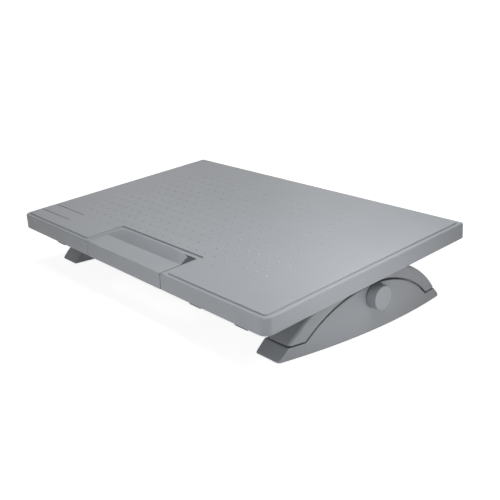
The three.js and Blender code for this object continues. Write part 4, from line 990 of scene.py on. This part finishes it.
def foot_stations():
    """Places along the foot, closer at its tips, with pairs at the steps of the channel and the pocket."""
    arc_half = math.sqrt(FOOT_ARC_RADIUS ** 2 - (LIP_HEIGHT + FOOT_ARC_RADIUS - FOOT_CROWN_HEIGHT) ** 2)
    channel = [CHANNEL_HALF - HAIRLINE, CHANNEL_HALF]
    pocket = [POCKET_NEAR, POCKET_NEAR + HAIRLINE, POCKET_FAR - HAIRLINE, POCKET_FAR]
    slope = np.linspace(FOOT_HALF - TIP_RUN - 2, FOOT_HALF - FOOT_CORNER - 1, 10)
    tip = np.linspace(FOOT_HALF - FOOT_CORNER - 0.8, FOOT_END, 18)
    reach = np.sort(np.concatenate([np.linspace(0, arc_half, 40), channel, pocket, slope, tip]))
    return np.concatenate([-reach[:0:-1], reach])


def foot_top(reach):
    """Height of the foot's upper edge: the arc about its centre, the low lip, the sloped tip, the nose."""
    centre = FOOT_CROWN_HEIGHT - FOOT_ARC_RADIUS
    rim = centre + np.sqrt(np.maximum(FOOT_ARC_RADIUS ** 2 - reach ** 2, 0))
    slope = (FOOT_HALF - reach) * math.tan(TIP_SLOPE)
    nose = NOSE_RADIUS + np.sqrt(np.maximum(NOSE_RADIUS ** 2 - (reach - NOSE_CENTRE) ** 2, 0))
    height = np.where(reach < FOOT_HALF - TIP_RUN, np.maximum(rim, LIP_HEIGHT), slope)
    return np.where(reach > FOOT_HALF - TIP_NOSE * math.cos(TIP_SLOPE), nose, height)


def foot_body():
    """Sections in X and Z at stations along Y: inner face, rim, channel, rim, leaning outer face, pocket."""
    y = foot_stations()
    reach = np.abs(y)
    in_channel = reach < CHANNEL_HALF
    in_pocket = (POCKET_NEAR < reach) & (reach < POCKET_FAR)
    top = foot_top(reach)
    inside_nose = np.clip(reach - NOSE_CENTRE, 0, NOSE_RADIUS)
    bottom = NOSE_RADIUS - np.sqrt(NOSE_RADIUS ** 2 - inside_nose ** 2)
    top = np.maximum(top, bottom + LEAST_HEIGHT)
    centre = FOOT_OUTER_CROWN - FOOT_BULGE_RADIUS

    def corner_loss(radius):
        into = np.clip(reach - (FOOT_END - radius), 0, radius)
        return radius - np.sqrt(radius ** 2 - into ** 2)

    outer = centre + np.sqrt(FOOT_BULGE_RADIUS ** 2 - reach ** 2) - corner_loss(FOOT_CORNER)
    inner = FOOT_INNER_FACE + corner_loss(FOOT_INNER_CORNER)
    room = (top - bottom) / ROUND_SHARE
    low_round = np.minimum(BOTTOM_ROUND, room)
    outer_top = outer - top * FOOT_LEAN
    floor = np.where(in_channel, FOOT_WALL, top)
    outer_floor = outer - floor * FOOT_LEAN
    pocket = np.where(in_pocket, POCKET_DEPTH, bottom)
    wall = np.full(len(y), FOOT_WALL)
    columns = [
        *quarter(inner, bottom, (1, 0), (0, 1), low_round),
        *quarter(inner, top, (0, -1), (1, 0), np.minimum(INNER_RIM_ROUND, room)),
        (inner + wall, top),
        (inner + wall, floor),
        (outer_floor - wall, floor),
        (outer_top - wall, top),
        *quarter(outer_top, top, (-1, 0), (0, -1), np.minimum(OUTER_RIM_ROUND, room)),
        *quarter(outer, bottom, (0, 1), (-1, 0), low_round),
        (np.full(len(y), POCKET_OUTER), bottom),
        (np.full(len(y), POCKET_OUTER), pocket),
        (np.full(len(y), POCKET_INNER), pocket),
        (np.full(len(y), POCKET_INNER), bottom),
    ]
    rows = np.stack([np.column_stack([x, y, z]) for x, z in columns], axis=1)
    return lofted(rows)


def make_feet():
    make_pair("foot_moulding", [foot_body()], in_foot_frame, foot_finish, "base", "foot_base")


# Sliding arches

def arch_band():
    """The arch above the foot's rim: sections in X and radius, fanned about the arch's centre.

    Each ray is cut off at the level base. The outer face is bulged by y^2 / (2 R) and leaned by the draft.
    """
    last = math.acos((ARCH_BASE - ARCH_CENTRE) / ARCH_RADIUS)
    angle = np.linspace(-last, last, 129)
    lowest = np.maximum(ARCH_INSIDE, (ARCH_BASE - ARCH_CENTRE) / np.cos(angle))
    lowest = np.minimum(lowest, ARCH_RADIUS)
    edge = ARCH_EDGE_ROUND
    outer_round = arc((FOOT_OUTER_CROWN - edge, ARCH_RADIUS - edge), edge, 0, 90, 10)
    inner_round = arc((ARCH_INNER_FACE + edge, ARCH_RADIUS - edge), edge, 90, 180, 10)
    foot_edge = BAND_FOOT_EDGE
    section = np.concatenate([
        [(FOOT_OUTER_CROWN - foot_edge, 0), (FOOT_OUTER_CROWN, foot_edge)],
        outer_round,
        inner_round,
        [(ARCH_INNER_FACE, foot_edge), (ARCH_INNER_FACE + foot_edge, 0)],
    ])
    x = np.repeat(section[None, :, 0], len(angle), axis=0)
    radius = np.repeat(section[None, :, 1], len(angle), axis=0)
    radius[:, [0, -1]] = lowest[:, None]
    radius[:, [1, -2]] = lowest[:, None] + foot_edge
    radius = np.clip(radius, lowest[:, None], ARCH_RADIUS)
    into = np.clip(radius - (ARCH_RADIUS - edge), 0, edge)
    loss = edge - np.sqrt(edge ** 2 - into ** 2)
    x = np.clip(x, ARCH_INNER_FACE + loss, FOOT_OUTER_CROWN - loss)
    y = radius * np.sin(angle)[:, None]
    z = ARCH_CENTRE + radius * np.cos(angle)[:, None]
    middle = (FOOT_INNER_FACE + FOOT_OUTER_CROWN) / 2
    lean = y ** 2 / (2 * FOOT_BULGE_RADIUS) + z * FOOT_LEAN
    x = np.where(x > middle, x - lean, x)
    return lofted(np.stack([x, y, z], axis=-1))


def arch_guide():
    """The sliding part inside the foot: a plate with a level foot and an arched top inside the band."""
    radius = ARCH_INSIDE + GUIDE_INTO_BAND
    half_angle = math.degrees(math.asin(GUIDE_HALF / radius))
    top = arc((0, ARCH_CENTRE), radius, 90 - half_angle, 90 + half_angle, 33)
    outline = np.concatenate([[(-GUIDE_HALF, GUIDE_BOTTOM), (GUIDE_HALF, GUIDE_BOTTOM)], top])
    return carried(outline, ARCH_INNER_FACE + 0.2, GUIDE_OUTER_FACE, GUIDE_EDGE, steps=4)


def make_arches():
    lug = round_bar(ARCH_INNER_FACE + 0.1, GUIDE_OUTER_FACE, LUG_RADIUS, LUG_EDGE, "x", TILT_CENTRE)
    shells = [arch_band(), arch_guide(), lug]
    make_pair("arch_moulding", shells, in_foot_frame, foot_finish, "lift", "arch")


# Knobs and shafts

def span_of(node):
    """A node's lowest and highest X in millimetres."""
    low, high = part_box(node)
    return low[0] / METRES_PER_MM, high[0] / METRES_PER_MM


def knob_shell():
    """A plain round knob: a slightly tapered side, a rounded rim and a face that is dished a little."""
    low, high = span_of("knob_right")
    back = low - KNOB_SKIRT
    rim = arc((high - KNOB_ROUND, KNOB_FACE_RADIUS - KNOB_ROUND), KNOB_ROUND, 90, 0, 9)
    face = [(high - KNOB_FACE_DISH * dish, KNOB_FACE_RADIUS * share) for dish, share in KNOB_FACE_SHARES]
    start = [(back, 0), (back, KNOB_RADIUS - KNOB_BACK_EDGE), (back + KNOB_BACK_EDGE, KNOB_RADIUS)]
    return turned([*start, *rim, *face], "x", LIFT_CENTRE, sides=96)


def make_knobs():
    shells = [knob_shell()]
    make_pair("height_knob", shells, in_foot_frame, foot_finish, "height_shaft", "knob")


def make_shafts():
    """Round steel bars, rings and collars, each turned over the span of the node that it stands for."""
    turned_parts = [
        ("tilt_bar", "tilt_shaft", 6.0, 0.5, TILT_CENTRE, "lift"),
        ("brake_ring", "brake_drum", 11.0, 0.6, TILT_CENTRE, "lift"),
        ("collar_ring_right", "shaft_collar_right", 9.09, 0.4, TILT_CENTRE, "lift"),
        ("collar_ring_left", "shaft_collar_left", 9.09, 0.4, TILT_CENTRE, "lift"),
        ("lift_bar", "lift_shaft", 4.0, 0.5, LIFT_CENTRE, "height_shaft"),
    ]
    for name, node, radius, edge, centre, body in turned_parts:
        shell = round_bar(*span_of(node), radius, edge, "x", centre)
        make_piece(name, [shell], in_foot_frame, steel_finish, body, node)


# Hardware under the tray

def saddle_outline():
    """A flange with the shaft's ring hanging from it.

    The corners at the ring's height only give the edges their direction, and are cut off again.
    """
    y, z = PIVOT_BEHIND_CENTRE, -RIM_ABOVE_PIVOT
    front = outlined([
        (y - SADDLE_FLANGE, SADDLE_TOP, 0.6, 4),
        (y - SADDLE_FLANGE, SADDLE_UNDER, 1.2, 5),
        (y - SADDLE_RING, SADDLE_UNDER, HAIRLINE, 2),
        (y - SADDLE_RING, z, HAIRLINE, 2),
        (y + SADDLE_RING, z, HAIRLINE, 2),
    ])
    back = outlined([
        (y - SADDLE_RING, z, HAIRLINE, 2),
        (y + SADDLE_RING, SADDLE_UNDER, HAIRLINE, 2),
        (y + SADDLE_FLANGE, SADDLE_UNDER, 1.2, 5),
        (y + SADDLE_FLANGE, SADDLE_TOP, 0.6, 4),
    ])
    return np.concatenate([front[:-4], arc((y, z), SADDLE_RING, 180, 360, 33), back[2:]])


def make_saddles():
    shells = [carried(saddle_outline(), *span_of("hinge_saddle_right"), SADDLE_EDGE)]
    make_pair("saddle_block", shells, in_tray_frame, foot_finish, "platform", "hinge_saddle")


def screw_shell(x, y, drop, plate):
    """A pan head with a round recess in it, under a plain shank that goes up through the plate."""
    under = -PLATE_WALL - drop - SEAT_GAP - plate - SEAT_GAP
    face = under - HEAD_HEIGHT
    shank_end = under + plate + 2 * SEAT_GAP + SHANK_BITE
    profile = [
        (face + RECESS_DEPTH, 0.0),
        (face + RECESS_DEPTH, 1.0),
        (face, 1.3),
        (face, 2.1),
        *[(face + 1.1 * (1 - math.cos(a)), 2.1 + 1.4 * math.sin(a)) for a in np.linspace(0.2, 1.5, 6)],
        (under, HEAD_RADIUS),
        (under, SHANK_RADIUS),
        (shank_end, SHANK_RADIUS),
        (shank_end, 0.0),
    ]
    return turned(profile, "z", (x, y, 0), sides=32)


def make_screws():
    for number, place in enumerate(screw_places(), start=1):
        shell = screw_shell(*place)
        name = f"pan_screw_{number}"
        make_piece(name, [shell], in_tray_frame, steel_finish, "platform", f"screw_{number}")


def rounded_path(corners, radius):
    """Straight runs between corners, each corner bent as a quadratic curve that starts a radius before it."""
    corners = np.array(corners, float)
    points = [corners[:1]]
    for before, corner, after in zip(corners, corners[1:], corners[2:]):
        entry = corner + (before - corner) / np.linalg.norm(before - corner) * radius
        leave = corner + (after - corner) / np.linalg.norm(after - corner) * radius
        points.append(bend(entry, corner, leave, ROD_BEND_STEPS))
    points.append(corners[-1:])
    return np.concatenate(points)


def make_rod():
    rod = swept(rounded_path(ROD_CORNERS, ROD_BEND), ROD_RADIUS)
    make_piece("bent_rod", [rod], in_tray_frame, steel_finish, "pull_rod", "pull_rod")


def make_spring():
    """A coil spring round the pull rod, from the bracket to the washer.

    Centre line: (r cos 2 pi n s, front + run s, rod + r sin 2 pi n s) for s from 0 to 1.
    """
    share = np.linspace(0, 1, SPRING_TURNS * SPRING_STEPS + 1)
    angle = 2 * math.pi * SPRING_TURNS * share
    path = np.column_stack([
        SPRING_RADIUS * np.cos(angle),
        SPRING_FRONT + SPRING_WIRE + (SPRING_LENGTH - 2 * SPRING_WIRE) * share,
        ROD_Z + SPRING_RADIUS * np.sin(angle),
    ])
    wire = swept(path, SPRING_WIRE, sides=10)
    spring = make_piece(
        "coil_spring", [wire], in_tray_frame, steel_finish, "platform", "return_spring",
    )
    seat = in_tray_frame(np.array([[0, SPRING_FRONT, ROD_Z]]))[0] * METRES_PER_MM
    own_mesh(spring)


def dress_frame_nodes():
    """Finishes for the frame's own small pieces that stay in view."""
    finishes = [
        (rubber_finish, ("foot_pad", "front_pad")),
        (lining_finish, ("brake_pad",)),
        (sheet_finish, ("brake_bracket", "brake_lever")),
        (steel_finish, ("lever_pin", "pedal_pin", "spring_washer")),
        (acetal_finish, ("pinion", "knob_bush", "inner_bush")),
    ]
    for name, node in nodes.items():
        for finish, starts in finishes:
            if name.startswith(starts):
                for place in node.material_slots:
                    place.material = finish


# Floor, lights and camera

def seen_directly(shader):
    """1 for what the camera, a reflection or a clear part looks at, 0 for light that falls on the object."""
    rays = shader.node("ShaderNodeLightPath")
    to_camera = shader.value(rays, "Is Camera Ray")
    mirrored = shader.value(rays, "Is Glossy Ray")
    let_through = shader.value(rays, "Is Transmission Ray")
    return to_camera.at_least(mirrored).at_least(let_through)


def make_floor():
    """A floor, white to the camera, that keeps the object's soft shadow and is clear from below."""
    corners = [(-1, -1), (1, -1), (1, 1), (-1, 1)]
    mesh = bpy.data.meshes.new("floor")
    mesh.from_pydata([(x * FLOOR_REACH, y * FLOOR_REACH, 0) for x, y in corners], [], [(0, 1, 2, 3)])
    floor = bpy.data.objects.new("floor", mesh)
    bpy.context.collection.objects.link(floor)
    shader = material_shader("white_floor")
    away = shader.node("ShaderNodeVectorMath", {"operation": "LENGTH"}, {0: shader.place()})
    glow = FLOOR_GLOW + (1 - FLOOR_GLOW) * shader.ramp(shader.value(away, "Value"), GLOW_NEAR, GLOW_FAR)
    light = {"Color": WHITE, "Strength": seen_directly(shader) * glow}
    bright = shader.node("ShaderNodeEmission", {}, light)
    plain = shader.node("ShaderNodeBsdfDiffuse", {}, {"Color": FLOOR_COLOUR})
    both = shader.node("ShaderNodeAddShader", {}, {0: shader.value(plain), 1: shader.value(bright)})
    below = shader.value(shader.node("ShaderNodeNewGeometry"), "Backfacing")
    clear = shader.value(shader.node("ShaderNodeBsdfTransparent"))
    shown = shader.node("ShaderNodeMixShader", {}, {0: below, 1: shader.value(both), 2: clear})
    shader.node("ShaderNodeOutputMaterial", {}, {"Surface": shader.value(shown)})
    mesh.materials.append(shader.owner)


def make_world():
    """White all round where it is looked at, and a low even light on the object."""
    world = bpy.data.worlds.new("studio")
    bpy.context.scene.world = world
    shader = Shader(world)
    strength = WORLD_LIGHT + (1 - WORLD_LIGHT) * seen_directly(shader)
    background = shader.node("ShaderNodeBackground", {}, {"Color": WHITE, "Strength": strength})
    shader.node("ShaderNodeOutputWorld", {}, {"Surface": shader.value(background)})


def make_lights():
    """Rectangular lamps turned towards their aims: soft ones over the tray, low panels, small far ones."""
    for name, place, aim, size, power in LAMPS:
        lamp = bpy.data.lights.new(name, "AREA")
        lamp.shape = "RECTANGLE"
        lamp.size, lamp.size_y = size
        lamp.energy = power
        holder = bpy.data.objects.new(name, lamp)
        holder.location = place
        holder.rotation_euler = (Vector(aim) - Vector(place)).to_track_quat("-Z", "Y").to_euler()
        bpy.context.collection.objects.link(holder)


def make_camera():
    """The photograph's camera: looking along forward, right and up turned by the small roll."""
    forward = Vector((
        -math.sin(CAMERA_YAW) * math.cos(CAMERA_PITCH),
        math.cos(CAMERA_YAW) * math.cos(CAMERA_PITCH),
        -math.sin(CAMERA_PITCH),
    ))
    level = Vector((math.cos(CAMERA_YAW), math.sin(CAMERA_YAW), 0))
    above = level.cross(forward)
    right = math.cos(CAMERA_ROLL) * level + math.sin(CAMERA_ROLL) * above
    up = math.cos(CAMERA_ROLL) * above - math.sin(CAMERA_ROLL) * level
    camera = bpy.data.cameras.new("photo_camera")
    camera.sensor_width = SENSOR_WIDTH
    camera.lens = CAMERA_FOCAL_SHARE * SENSOR_WIDTH
    holder = bpy.data.objects.new("photo_camera", camera)
    turn = Matrix((right, up, -forward)).transposed().to_4x4()
    holder.matrix_world = Matrix.Translation(CAMERA_PLACE) @ turn
    bpy.context.collection.objects.link(holder)
    bpy.context.scene.camera = holder


make_tray()
make_pedal()
make_feet()
make_arches()
make_knobs()
make_shafts()
make_saddles()
make_screws()
make_rod()
make_spring()
dress_frame_nodes()
make_floor()
make_world()
make_lights()
make_camera()
bpy.context.scene.view_settings.view_transform = "Standard"
